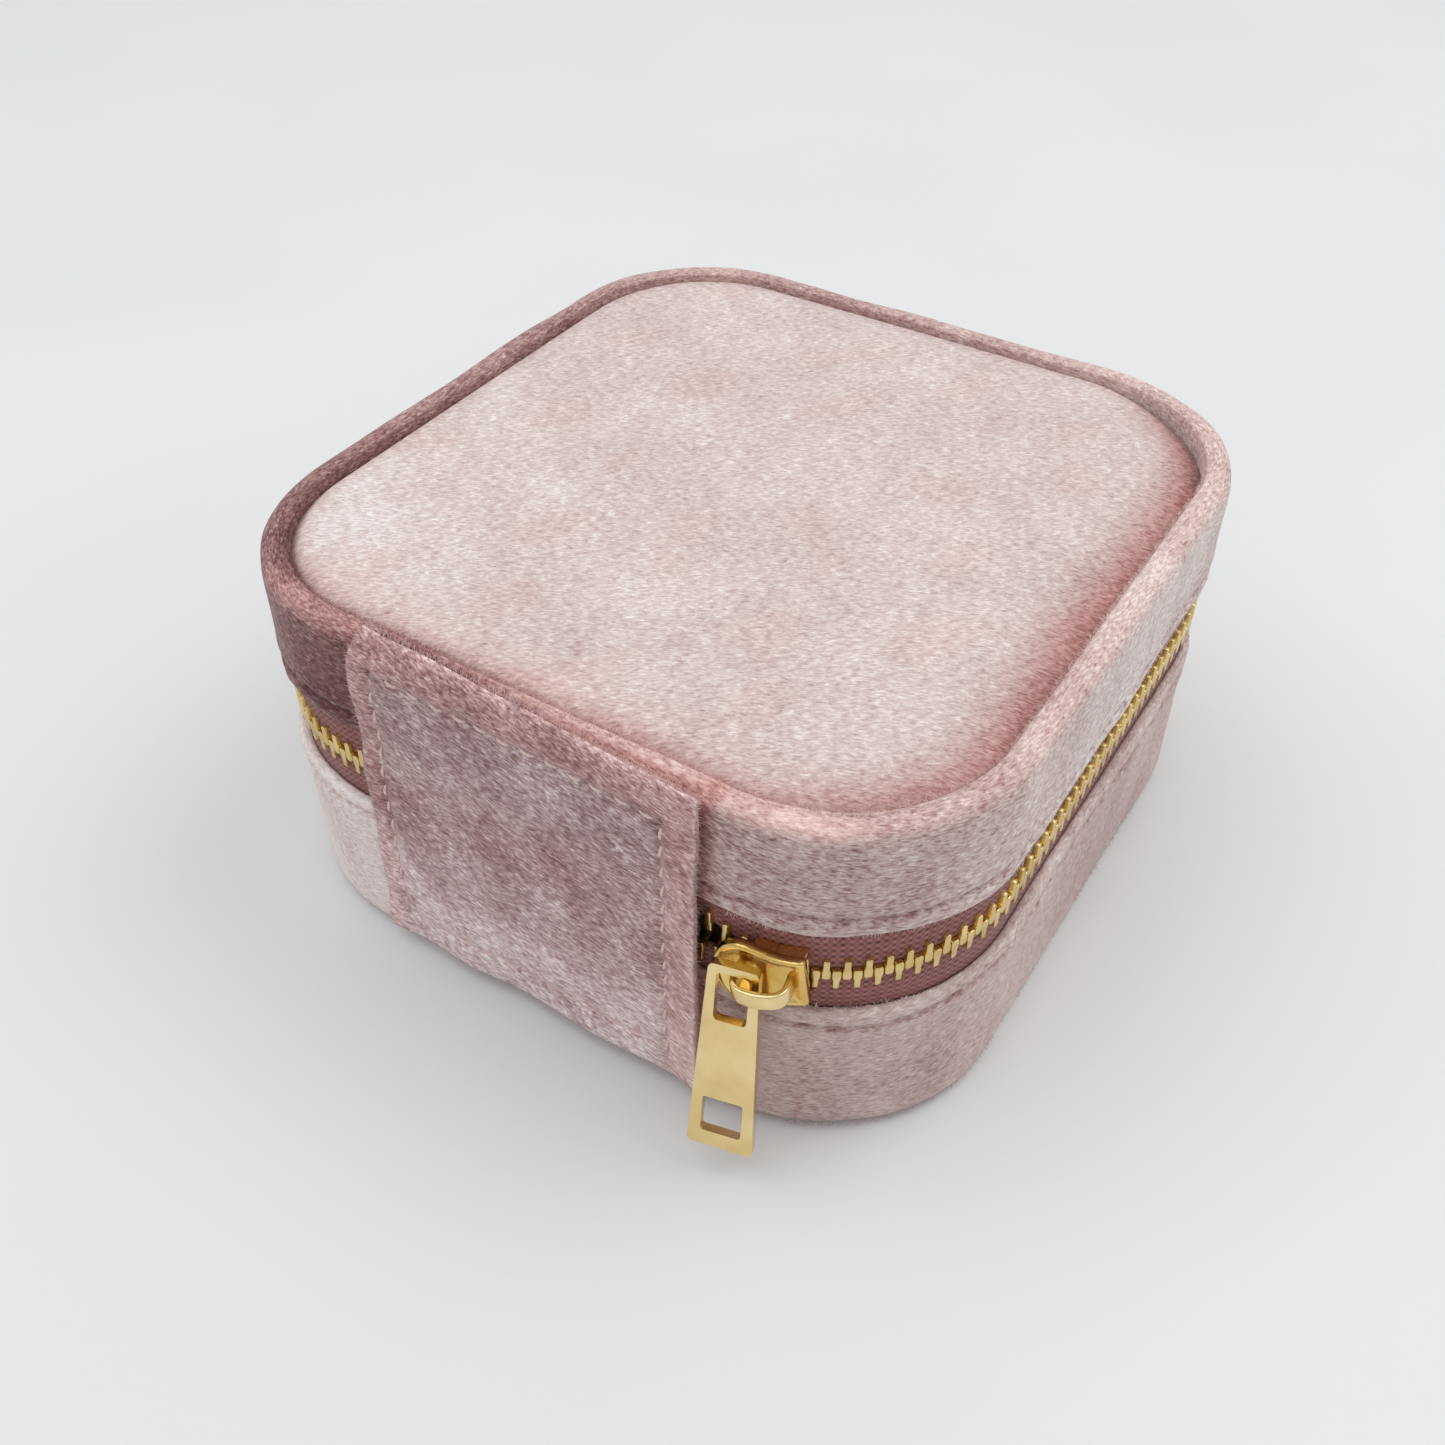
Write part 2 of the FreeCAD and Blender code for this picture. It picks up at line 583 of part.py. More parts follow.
# ---- every piece --------------------------------------------------------------------
def all_parts():
    parts = {
        "base_velvet_cover": base_velvet_cover(),
        "base_bottom_velvet": base_bottom_velvet(),
        "base_bottom_board": base_bottom_board(),
        "base_wall_board": base_wall_board(),
        "base_lining_wall": base_lining_wall(),
        "base_floor_pad": base_floor_pad(),
        "divider_long": divider_long(),
        "divider_rolls": cross_divider(-WIDTH, -DIVIDER_T / 2 - 0.1),
        "divider_trays": cross_divider(DIVIDER_T / 2 + 0.1, WIDTH),
        "zip_tape_base": zip_tape_base(),
        "zip_teeth_base": zip_teeth(1, 0.0),
        "zip_top_stop_base": zip_top_stop(1),
        "zip_bottom_stop": zip_bottom_stop(),
        "base_hem_stitching": hem_stitching(BASE_HEM_Z - HEM_SEAM),
        "hinge_patch": hinge_patch(),
        "patch_stitching_base": patch_stitching(0, CHAIN_Z),
        "patch_stitching_lid": patch_stitching(CHAIN_Z, HEIGHT),
        "hinge_lining": hinge_lining(),
        "lid_velvet_cover": lid_velvet_cover(),
        "lid_wall_board": lid_wall_board(),
        "lid_top_board": lid_top_board(),
        "lid_top_foam": lid_top_foam(),
        "lid_top_velvet": lid_top_velvet(),
        "lid_lining_wall": lid_lining_wall(),
        "lid_lining_panel": lid_lining_panel(),
        "lid_mirror": lid_mirror(),
        "zip_tape_lid": zip_tape_lid(),
        "zip_teeth_lid": zip_teeth(-1, PITCH / 2),
        "zip_top_stop_lid": zip_top_stop(-1),
        "lid_hem_stitching": hem_stitching(LID_HEM_Z + HEM_SEAM),
        "slider_body": slider_body(),
        "slider_bridge": slider_bridge(),
        "pull_tab": pull_tab(),
    }
    for index in range(ROLLS):
        parts["ring_roll_%d" % (index + 1)] = ring_roll(index)
    return parts


os.makedirs(OUT, exist_ok=True)
for name, shape in all_parts().items():
    shape.exportStep("%s/%s.step" % (OUT, name))
    bounds = shape.BoundBox
    print("%-22s %3d solids %9.1f mm3  x %.1f..%.1f  y %.1f..%.1f  z %.1f..%.1f" % (
        name, len(shape.Solids), shape.Volume, bounds.XMin, bounds.XMax, bounds.YMin, bounds.YMax,
        bounds.ZMin, bounds.ZMax))
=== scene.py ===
# Looks of the square velvet zip-around jewellery box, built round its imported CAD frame.
# Metres, +Z up, hinge patch on the +Y wall, zip opens towards -Y.
import json
import math

import bmesh
import bpy
import numpy as np
from mathutils import Matrix, Vector


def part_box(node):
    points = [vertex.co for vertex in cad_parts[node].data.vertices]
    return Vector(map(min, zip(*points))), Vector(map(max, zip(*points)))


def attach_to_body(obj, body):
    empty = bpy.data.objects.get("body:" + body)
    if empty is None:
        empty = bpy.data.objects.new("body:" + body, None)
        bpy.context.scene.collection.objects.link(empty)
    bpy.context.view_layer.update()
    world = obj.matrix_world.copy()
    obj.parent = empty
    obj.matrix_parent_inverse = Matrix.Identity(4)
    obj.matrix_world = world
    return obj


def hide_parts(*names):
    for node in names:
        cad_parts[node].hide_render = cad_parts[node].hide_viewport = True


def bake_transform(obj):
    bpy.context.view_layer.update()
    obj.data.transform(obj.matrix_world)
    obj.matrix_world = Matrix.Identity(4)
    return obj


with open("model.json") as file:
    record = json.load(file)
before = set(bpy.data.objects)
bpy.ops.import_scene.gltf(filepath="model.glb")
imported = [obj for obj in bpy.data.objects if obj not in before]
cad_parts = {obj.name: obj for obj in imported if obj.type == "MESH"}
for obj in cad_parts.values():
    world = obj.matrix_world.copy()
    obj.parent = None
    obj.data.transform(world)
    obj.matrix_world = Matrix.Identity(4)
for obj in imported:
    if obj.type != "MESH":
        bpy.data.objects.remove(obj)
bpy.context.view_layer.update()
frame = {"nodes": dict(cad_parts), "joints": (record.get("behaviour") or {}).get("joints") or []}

MM = 0.001

# ---- sizes taken from the frame, in millimetres ----


def cad_box(node):
    """Lowest and highest corner of a CAD node, in millimetres."""
    low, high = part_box(node)
    return np.array(low) / MM, np.array(high) / MM


base_low, base_high = cad_box("base_velvet_cover")
lid_low, lid_high = cad_box("lid_velvet_cover")
WIDTH = base_high[0] - base_low[0]
DEPTH = base_high[1] - base_low[1]
HEIGHT = lid_high[2]
BASE_HEM = base_high[2]
LID_HEM = lid_low[2]
CHAIN_Z = (BASE_HEM + LID_HEM) / 2   # the zip's middle
CORNER_R = 24.0                      # fitted to the photograph
TRACK_INSET = DEPTH / 2 - cad_box("zip_tape_base")[1][1] + 0.225
FLAT_X, FLAT_Y = WIDTH / 2 - CORNER_R, DEPTH / 2 - CORNER_R
# Centres of the four round corners, in the order in which the zip passes them.
CORNERS = [(-FLAT_X, FLAT_Y), (-FLAT_X, -FLAT_Y), (FLAT_X, -FLAT_Y), (FLAT_X, FLAT_Y)]
# Lengths of the flat stretches between them, from the middle of the back wall round to it again.
FLATS = [FLAT_X, 2 * FLAT_Y, 2 * FLAT_X, 2 * FLAT_Y, FLAT_X]

joints = {j["name"]: j for j in frame["joints"]}

# ---- mesh helpers ----


def waves(points, length, seed, count=10):
    """Smooth noise of about unit size: a sum of plane waves about length millimetres long."""
    random = np.random.default_rng(seed)
    total = np.zeros(len(points))
    for _ in range(count):
        direction = random.normal(size=points.shape[1])
        direction *= 2 * math.pi / length * random.uniform(0.6, 1.5) / np.linalg.norm(direction)
        total += np.cos(points @ direction + random.uniform(0, 2 * math.pi))
    return total / math.sqrt(count / 2)


def smooth(edge0, edge1, value):
    """Eases from 0 at edge0 to 1 at edge1, which may also lie below edge0."""
    t = np.clip((value - edge0) / (edge1 - edge0), 0, 1)
    return t * t * (3 - 2 * t)


def settle(mesh, outward=True, weld=False):
    """Smooth shading. outward turns the faces out; weld joins doubled points first."""
    if outward:
        work = bmesh.new()
        work.from_mesh(mesh)
        if weld:
            bmesh.ops.remove_doubles(work, verts=work.verts, dist=1e-7)
            bmesh.ops.dissolve_degenerate(work, edges=work.edges, dist=1e-7)
        bmesh.ops.recalc_face_normals(work, faces=work.faces)
        work.to_mesh(mesh)
        work.free()
    mesh.shade_smooth()


def add_object(name, data):
    obj = bpy.data.objects.new(name, data)
    bpy.context.scene.collection.objects.link(obj)
    return obj


def piece(name, verts, faces, material, uvs=None, tone_and_light=None, outward=True):
    """A mesh object from millimetre points. uvs are per face corner, tone_and_light is lightness and rose per
    point: the pile's own tone together with painted light, shade and sheen.
    """
    mesh = bpy.data.meshes.new(name)
    mesh.from_pydata((np.asarray(verts) * MM).tolist(), [], [list(map(int, f)) for f in faces])
    if uvs is not None:
        layer = mesh.uv_layers.new(name="UVMap")
        layer.data.foreach_set("uv", (np.asarray(uvs, np.float32) * MM).ravel())
    if tone_and_light is not None:
        values = np.zeros((len(verts), 3), np.float32)
        values[:, :2] = np.reshape(tone_and_light, (len(verts), -1))
        attribute = mesh.attributes.new("tone_and_light", "FLOAT_VECTOR", "POINT")
        attribute.data.foreach_set("vector", values.ravel())
    settle(mesh, outward)
    mesh.materials.append(material)
    return add_object(name, mesh)


def attach(obj, body, slot, *nodes):
    """Rides a piece on its body and hides the CAD nodes that it replaces; slot is not used."""
    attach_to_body(obj, body)
    if nodes:
        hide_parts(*nodes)


def quads(columns, rows, wrap_columns=False, wrap_rows=False):
    """Faces of a grid of points, stored column by column. A wrapped side joins its end to its start."""
    last_i, last_j = columns - (not wrap_columns), rows - (not wrap_rows)
    i, j = np.meshgrid(np.arange(last_i), np.arange(last_j), indexing="ij")
    i2, j2 = (i + 1) % columns, (j + 1) % rows
    return np.stack([i * rows + j, i2 * rows + j, i2 * rows + j2, i * rows + j2], 2).reshape(-1, 4)


def lattice(u, v):
    """All pairs of a value from u and one from v, column by column."""
    return np.stack(np.meshgrid(u, v, indexing="ij"), 2).reshape(-1, 2)


def grid_uvs(u, v):
    """UVs for each corner of a grid's faces, from where its columns and its rows lie."""
    return lattice(u, v)[quads(len(u), len(v)).reshape(-1)]


def tube_faces(rings, section):
    """Faces of a tube of rings, each of section points, closed by a face at both ends."""
    first = list(range(section))
    last = [(rings - 1) * section + k for k in range(section)]
    return quads(rings, section, wrap_rows=True).tolist() + [first[::-1], last]


def joined(parts):
    """One set of points and faces from several."""
    verts, faces, total = [], [], 0
    for points, part_faces in parts:
        verts.append(points)
        faces += [[v + total for v in face] for face in part_faces]
        total += len(points)
    return np.concatenate(verts), faces


def eased_loop(points):
    """Cuts a closed loop's corners three times. Gives the closed loop, and its length up to each point."""
    for _ in range(3):
        ahead = np.roll(points, -1, 0)
        points = np.stack([points * 0.75 + ahead * 0.25, points * 0.25 + ahead * 0.75], 1).reshape(-1, 2)
    loop = np.vstack([points, points[:1]])
    return loop, np.r_[0, np.cumsum(np.linalg.norm(np.diff(loop, axis=0), axis=1))]


def even_points(loop, lengths, count):
    """count points at even distances along a closed loop."""
    t = np.linspace(0, lengths[-1], count, endpoint=False)
    return np.stack([np.interp(t, lengths, loop[:, 0]), np.interp(t, lengths, loop[:, 1])], 1)


def eased_ring(count, power):
    """A band's cross-section, from -1 to 1 both ways: a rectangle with eased corners."""
    turn = 2 * math.pi * (np.arange(count) + 0.5) / count
    c, s = np.cos(turn), np.sin(turn)
    return np.sign(c) * np.abs(c) ** power, np.sign(s) * np.abs(s) ** power


def past_flats(points):
    """How far points lie out past the flat stretches, along X and along Y."""
    return np.maximum(np.abs(points[:, :2]) - (FLAT_X, FLAT_Y), 0)


def way_round(s, radius):
    """Follows an outline with corners of the radius for s, from the back wall's middle over the -X side.
    Gives the point that the wall is measured out from there, and the outward angle."""
    start = np.array([0.0, FLAT_Y])
    for leg, flat in enumerate(FLATS):
        angle = math.radians(90 + 90 * leg)
        if s <= flat or leg == 4:
            return start + np.array([-math.sin(angle), math.cos(angle)]) * s, angle
        s -= flat
        start = np.array(CORNERS[leg])
        if s <= radius * math.pi / 2:
            return start, angle + s / radius
        s -= radius * math.pi / 2


class Outline:
    """Columns round the box's outline, about step apart."""

    def __init__(self, step):
        lengths = FLATS[:1]
        for flat in FLATS[1:]:
            lengths += [CORNER_R * math.pi / 2, flat]
        starts = np.r_[0, np.cumsum(lengths)]
        counts = [max(6 if k % 2 else 2, round(length / step)) for k, length in enumerate(lengths)]
        self.place = np.concatenate([start + length * np.arange(count) / count
                                     for start, length, count in zip(starts, lengths, counts)])
        self.length = starts[-1]
        centres, angles = zip(*(way_round(s, CORNER_R) for s in self.place))
        self.centre = np.array(centres)
        self.normal = np.stack([np.cos(angles), np.sin(angles)], 1)

    def at(self, inset, z):
        """Points for insets and heights given as arrays of (columns, rows)."""
        shape = (len(self.place), np.shape(inset)[-1])
        inset, z = np.broadcast_to(inset, shape), np.broadcast_to(z, shape)
        flat = self.centre[:, None, :] + self.normal[:, None, :] * (CORNER_R - inset)[:, :, None]
        return np.concatenate([flat, z[:, :, None]], 2)


def rounded_path(points, step):
    """A closed cross-section (inset, z) with eased corners and points about step apart, and its girth."""
    loop, lengths = eased_loop(np.array(points, float))
    return even_points(loop, lengths, max(12, round(lengths[-1] / step))), lengths[-1]


def sweep(name, outline, section, material, shape, tone_and_light, step):
    """A closed cross-section swept all round the outline. shape moves the points and tone_and_light gives
    their tone and painted light.
    """
    profile, around = rounded_path(section, step)
    points = outline.at(profile[None, :, 0], profile[None, :, 1])
    columns, rows = points.shape[:2]
    flat = points.reshape(-1, 3)
    place = np.repeat(outline.place, rows)
    inset = np.tile(profile[:, 0], columns)
    normal = np.repeat(outline.normal, rows, 0)
    if shape is not None:
        flat = shape(flat, place, inset, normal)
    uvs = grid_uvs(np.r_[outline.place, outline.length], np.arange(rows + 1) * around / rows)
    return piece(name, flat, quads(columns, rows, True, True), material, uvs, tone_and_light(flat, place))


def sheet_piece(name, front, back, material, tone_and_light=None):
    """A closed sheet from two grids of points (u, v, 3), one for each face."""
    n_u, n_v = front.shape[:2]
    verts = np.concatenate([front.reshape(-1, 3), back.reshape(-1, 3)])
    top = quads(n_u, n_v)
    low = top[:, ::-1] + n_u * n_v
    rim = ([(k, 0) for k in range(n_u)] + [(n_u - 1, k) for k in range(1, n_v)]
           + [(k, n_v - 1) for k in range(n_u - 2, -1, -1)] + [(0, k) for k in range(n_v - 2, 0, -1)])
    ids = [p * n_v + q for p, q in rim]
    side = [[ids[k], ids[(k + 1) % len(ids)], ids[(k + 1) % len(ids)] + n_u * n_v, ids[k] + n_u * n_v]
            for k in range(len(ids))]
    faces = np.concatenate([top, low, np.array(side)])
    length_u = np.linalg.norm(np.diff(front, axis=0), axis=2).mean(1)
    length_v = np.linalg.norm(np.diff(front, axis=1), axis=2).mean(0)
    grid = lattice(np.r_[0, np.cumsum(length_u)], np.r_[0, np.cumsum(length_v)])
    uvs = np.concatenate([grid, grid])[faces.reshape(-1)]
    values = None if tone_and_light is None else tone_and_light(verts)
    return piece(name, verts, faces, material, uvs, values)


BEVEL_ANGLE = 40                     # edges that turn by more degrees than this are rounded


def bevelled(obj, width, segments):
    """Rounds an object's sharp edges and applies it."""
    modifier = obj.modifiers.new("bevel", "BEVEL")
    modifier.width = width * MM
    modifier.segments = segments
    modifier.limit_method = "ANGLE"
    modifier.angle_limit = math.radians(BEVEL_ANGLE)
    mesh = bpy.data.meshes.new_from_object(obj.evaluated_get(bpy.context.evaluated_depsgraph_get()))
    old = obj.data
    obj.modifiers.clear()
    obj.data = mesh
    mesh.name = obj.name
    bpy.data.meshes.remove(old)


def prism(name, loops, thickness, material):
    """A flat plate on the floor, with holes: the first loop is its edge, the others its holes."""
    work = bmesh.new()
    edges = []
    for loop in loops:
        ring = [work.verts.new((x * MM, y * MM, 0)) for x, y in loop]
        edges += [work.edges.new((ring[k], ring[(k + 1) % len(ring)])) for k in range(len(ring))]
    bmesh.ops.triangle_fill(work, use_beauty=True, use_dissolve=False, edges=edges)
    made = bmesh.ops.extrude_face_region(work, geom=work.faces[:])
    moved = [v for v in made["geom"] if isinstance(v, bmesh.types.BMVert)]
    bmesh.ops.translate(work, vec=(0, 0, thickness * MM), verts=moved)
    bmesh.ops.recalc_face_normals(work, faces=work.faces)
    mesh = bpy.data.meshes.new(name)
    work.to_mesh(mesh)
    work.free()
    mesh.materials.append(material)
    return add_object(name, mesh)


def rounded_loop(half_w, low, high, radius, count=5, half_w_high=None):
    """A four-sided loop with rounded corners, from low to high."""
    top_w = half_w if half_w_high is None else half_w_high
    corners = [(-half_w, low), (half_w, low), (top_w, high), (-top_w, high)]
    loop = []
    for k, corner in enumerate(corners):
        here = np.array(corner)
        before = np.array(corners[k - 1]) - here
        after = np.array(corners[(k + 1) % 4]) - here
        a, b = here + before / np.linalg.norm(before) * radius, here + after / np.linalg.norm(after) * radius
        for t in np.linspace(0, 1, count):
            loop.append(tuple((1 - t) ** 2 * a + 2 * t * (1 - t) * here + t * t * b))
    return loop


# ---- materials ----


class Nodes:
    """Shorthand for one material's node tree."""

    def __init__(self, name):
        self.material = bpy.data.materials.new(name)
        self.material.use_nodes = True
        self.tree = self.material.node_tree
        self.tree.nodes.clear()
        self.shader = self.tree.nodes.new("ShaderNodeBsdfPrincipled")
        out = self.tree.nodes.new("ShaderNodeOutputMaterial")
        self.tree.links.new(self.shader.outputs[0], out.inputs[0])

    def node(self, kind, inputs=None, **values):
        """A new node with settings and with inputs, each a fixed value or another node's output."""
        made = self.tree.nodes.new(kind)
        for key, value in values.items():
            setattr(made, key, value)
        for key, value in (inputs or {}).items():
            if isinstance(value, bpy.types.NodeSocket):
                self.link(value, made.inputs[key])
            else:
                made.inputs[key].default_value = value
        return made

    def link(self, source, target):
        self.tree.links.new(source, target)

    def math(self, operation, a, b=0.5, c=None, clamp=False):
        terms = {k: value for k, value in enumerate((a, b, c)) if value is not None}
        return self.node("ShaderNodeMath", terms, operation=operation, use_clamp=clamp).outputs[0]

    def coords(self, source="UV", turn=0.0, scale=(1, 1, 1)):
        """Texture coordinates in metres, turned in degrees, then stretched along their own axes."""
        inputs = {"Rotation": (0, 0, math.radians(turn)), "Scale": [1 / value for value in scale],
                  "Vector": self.node("ShaderNodeTexCoord").outputs[source]}
        return self.node("ShaderNodeMapping", inputs, vector_type="TEXTURE").outputs[0]

    def noise(self, coords, scale, detail=2.0, rough=0.5, distortion=0.0):
        inputs = {"Scale": scale, "Detail": detail, "Roughness": rough, "Distortion": distortion,
                  "Vector": coords}
        return self.node("ShaderNodeTexNoise", inputs).outputs["Fac"]

    def ramp(self, value, stops):
        made = self.node("ShaderNodeValToRGB", {0: value})
        elements = made.color_ramp.elements
        while len(elements) < len(stops):
            elements.new(0.5)
        for element, (place, colour) in zip(elements, stops):
            element.position = place
            element.color = (*colour, 1)
        return made.outputs[0]

    def bump(self, height, strength, distance, normal=None):
        inputs = {"Strength": strength, "Distance": distance, "Height": height}
        if normal is not None:
            inputs["Normal"] = normal
        return self.node("ShaderNodeBump", inputs).outputs[0]

    def paint(self, value, stops):
        """Colours the surface from a value, through colour stops."""
        self.link(self.ramp(value, stops), self.shader.inputs["Base Color"])

    def emboss(self, height, strength, distance, normal=None):
        """Gives the surface the relief of a pattern."""
        self.link(self.bump(height, strength, distance, normal), self.shader.inputs["Normal"])

    def set(self, **values):
        for key, value in values.items():
            self.shader.inputs[key.replace("_", " ").title().replace("Ior", "IOR")].default_value = value


DARKEST_SHADE, BRIGHTEST_GLINT = -0.3, 1.3         # the darkest painted shade and the brightest painted glint that the colour stops reach
VELVET_STOPS = [(DARKEST_SHADE, (0.080, 0.028, 0.030)), (0.0, (0.155, 0.068, 0.070)), (0.3, (0.345, 0.200, 0.196)),
                (0.55, (0.540, 0.412, 0.396)), (0.78, (0.688, 0.574, 0.544)), (1.0, (0.850, 0.796, 0.770)),
                (BRIGHTEST_GLINT, (0.98, 0.96, 0.95))]
PATCH_STOPS = [(DARKEST_SHADE, (0.080, 0.032, 0.034)), (0.0, (0.155, 0.072, 0.076)), (0.3, (0.300, 0.172, 0.174)),
               (0.55, (0.475, 0.333, 0.333)), (0.8, (0.690, 0.572, 0.572)), (1.0, (0.900, 0.845, 0.840)),
               (BRIGHTEST_GLINT, (0.98, 0.96, 0.95))]
ROSE_TINT = (1.0, 0.68, 0.645)
# Noise scales of the pile's patterns: the larger, the finer.
FIBRES, TIPS, GRAINS, MOTTLE, BLOTCHES = 4300, 3600, 1500, 430, 120
GLINT_FROM, GLINT_GAIN = 0.60, 6.0   # only tips above the first glint; how fast the glint then grows


def velvet(name, turn, fleck, blotch=0.12, spark=0.35, stops=VELVET_STOPS):
    """Short pile that glints. Its lightness and its rose tint come from the tone_and_light attribute, which
    holds painted light, shade and sheen; flecks, painted glints along the lie of the pile and soft blotches
    break them."""
    n = Nodes(name)
    tone_and_light = n.node("ShaderNodeAttribute", attribute_name="tone_and_light").outputs["Vector"]
    lit_tone, rose, _ = n.node("ShaderNodeSeparateXYZ", {0: tone_and_light}).outputs
    along = n.coords("UV", turn, (1.0, 0.24, 1.0))
    fibres = n.noise(along, FIBRES, 2.0, 0.6, 0.5)
    grains = n.noise(n.coords("UV", turn + 14, (1.0, 0.5, 1.0)), GRAINS, 2.0, 0.6)
    mottle = n.noise(n.coords("Object"), MOTTLE, 2.0, 0.5, 0.4)
    soft = n.noise(n.coords("Object"), BLOTCHES, 3.0, 0.55, 0.6)
    fac = lit_tone
    for pattern, amount in ((fibres, fleck), (grains, fleck * 0.6), (mottle, fleck * 0.22), (soft, blotch)):
        fac = n.math("MULTIPLY_ADD", pattern, amount, n.math("ADD", fac, -0.5 * amount))
    # Painted glints: the brightest pile tips, where the mottle allows, are painted lighter into the base
    # colour, up to near white.
    tips = n.noise(n.coords("UV", turn - 9, (1.0, 0.36, 1.0)), TIPS, 1.0, 0.5)
    glint = n.math("MULTIPLY", n.math("SUBTRACT", tips, GLINT_FROM), GLINT_GAIN, clamp=True)
    glint = n.math("MULTIPLY", glint, mottle)
    fac = n.math("MULTIPLY_ADD", glint, spark, fac)
    reach = BRIGHTEST_GLINT - DARKEST_SHADE
    fac = n.math("MULTIPLY_ADD", fac, 1 / reach, -DARKEST_SHADE / reach, clamp=True)
    stops = [((place - DARKEST_SHADE) / reach, colour) for place, colour in stops]
    tint = n.node("ShaderNodeMix", data_type="RGBA", blend_type="MULTIPLY")
    tint.inputs[7].default_value = (*ROSE_TINT, 1)
    n.link(rose, tint.inputs[0])
    n.link(n.ramp(fac, stops), tint.inputs[6])
    n.link(tint.outputs[2], n.shader.inputs["Base Color"])
    n.emboss(fibres, 0.55, 0.00020, n.bump(grains, 0.35, 0.00028))
    n.set(roughness=0.74, specular_ior_level=0.28, sheen_weight=0.26, sheen_roughness=0.36)
    n.shader.inputs["Sheen Tint"].default_value = (1.0, 0.90, 0.88, 1)
    return n.material


def woven(name, dark, light, pitch):
    """Twill tape: two crossing sets of yarns."""
    n = Nodes(name)
    where = n.node("ShaderNodeSeparateXYZ", {0: n.coords("UV")})
    warp, weft = (n.math("SINE", n.math("MULTIPLY", where.outputs[k], 2 * math.pi / (pitch * MM)))
                  for k in (0, 1))
    cross = n.math("MULTIPLY_ADD", n.math("MULTIPLY", warp, weft), 0.28, 0.5)
    cross = n.math("MULTIPLY_ADD", weft, 0.14, cross)
    rough = n.noise(n.coords("Object"), 900, 3.0, 0.6)
    fac = n.math("MULTIPLY_ADD", rough, 0.55, n.math("ADD", cross, -0.25), clamp=True)
    n.paint(fac, [(0.1, dark), (0.9, light)])
    n.emboss(cross, 0.8, 0.00018)
    n.set(roughness=0.82, specular_ior_level=0.25, sheen_weight=0.15, sheen_roughness=0.5)
    return n.material


def metal(name, deep, bright, roughness, scratch=0.25):
    """Plated metal with small scratches and a slightly uneven tone."""
    n = Nodes(name)
    tone = n.noise(n.coords("Object"), 260, 4.0, 0.6)
    n.paint(tone, [(0.3, deep), (0.7, bright)])
    lines = n.noise(n.coords("Object", 30, (1, 14, 1)), 700, 3.0, 0.7)
    n.link(n.math("MULTIPLY_ADD", lines, scratch, roughness - scratch * 0.5), n.shader.inputs["Roughness"])
    n.emboss(lines, 0.35, 0.00005)
    n.set(metallic=1.0)
    return n.material


def plain_cloth(name, dark, light, scale=1500):
    """Soft lining cloth, thread or foam: two tones broken by fine grain."""
    n = Nodes(name)
    grain = n.noise(n.coords("Object"), scale, 3.0, 0.6)
    n.paint(grain, [(0.25, dark), (0.75, light)])
    n.emboss(grain, 0.45, 0.00015)
    n.set(roughness=0.9, specular_ior_level=0.2, sheen_weight=0.25, sheen_roughness=0.5)
    return n.material


def glass_mirror():
    n = Nodes("mirror")
    haze = n.noise(n.coords("Object"), 60, 2.0)
    n.paint(haze, [(0.3, (0.86, 0.88, 0.89)), (0.7, (0.90, 0.91, 0.92))])
    n.set(metallic=1.0, roughness=0.03)
    return n.material


TOP_VELVET = velvet("velvet_top", -62, fleck=1.0, blotch=0.07)
LID_VELVET = velvet("velvet_lid_side", 84, fleck=1.35, blotch=0.10)
BASE_VELVET = velvet("velvet_base_side", 83, fleck=1.05, blotch=0.10)
PATCH_VELVET = velvet("velvet_patch", 99, fleck=1.5, blotch=0.16, spark=0.45, stops=PATCH_STOPS)
LINING = velvet("lining_velvet", 20, fleck=0.7, spark=0.15)
TAPE = woven("zip_tape", (0.105, 0.031, 0.030), (0.430, 0.176, 0.162), 0.90)
THREAD = plain_cloth("thread", (0.62, 0.40, 0.36), (0.88, 0.70, 0.64), 2500)
SEAM_THREAD = plain_cloth("hem_thread", (0.40, 0.24, 0.23), (0.60, 0.42, 0.40), 2500)
BRASS = metal("zip_brass", (0.60, 0.43, 0.15), (0.87, 0.68, 0.33), 0.26)
GOLD = metal("gold_plate", (0.82, 0.61, 0.27), (0.92, 0.73, 0.39), 0.20)
CAST_GOLD = metal("cast_gold", (0.64, 0.39, 0.08), (0.90, 0.67, 0.26), 0.12)
BOARD = plain_cloth("grey_board", (0.30, 0.28, 0.25), (0.46, 0.44, 0.40), 800)
MIRROR = glass_mirror()

# ---- tone and painted light: how light the pile looks by place, its own tone with painted light, shade and sheen ----
STITCH_STEP = 3.6                    # from stitch to stitch along a hem
HEM_SEAM = 2.6                       # from a hem's edge to its seam
HEM_SAG = (44.0, 1.1, 15.0)          # the base hem sags at the slider's corner: where, how far, how wide
PATCH_SPAN = cad_box("hinge_patch")[0][0], cad_box("hinge_patch")[1][0]
RIM_R = 2.4                          # how round the lid's outer edge is
PATCH_T = 0.95                       # how thick the hinge patch is


def between(low, high, ease, value):
    """Eases from 0 at low to 1 at low + ease, and back to 0 from high - ease to high."""
    return smooth(low, low + ease, value) * smooth(high, high - ease, value)


def bell(value, middle, width):
    """1 at the middle, falling away over about a width on both sides."""
    return np.exp(-((value - middle) / width) ** 2)


def hem_sag(points):
    """How far the base hem hangs down at each point."""
    where, drop, wide = HEM_SAG
    return drop * bell(np.hypot(points[:, 0] + where, points[:, 1] - where), 0, wide)


def along_patch(x):
    """0 at the patch's -X edge and 1 at its +X edge."""
    return np.clip((x - PATCH_SPAN[0]) / (PATCH_SPAN[1] - PATCH_SPAN[0]), 0, 1)


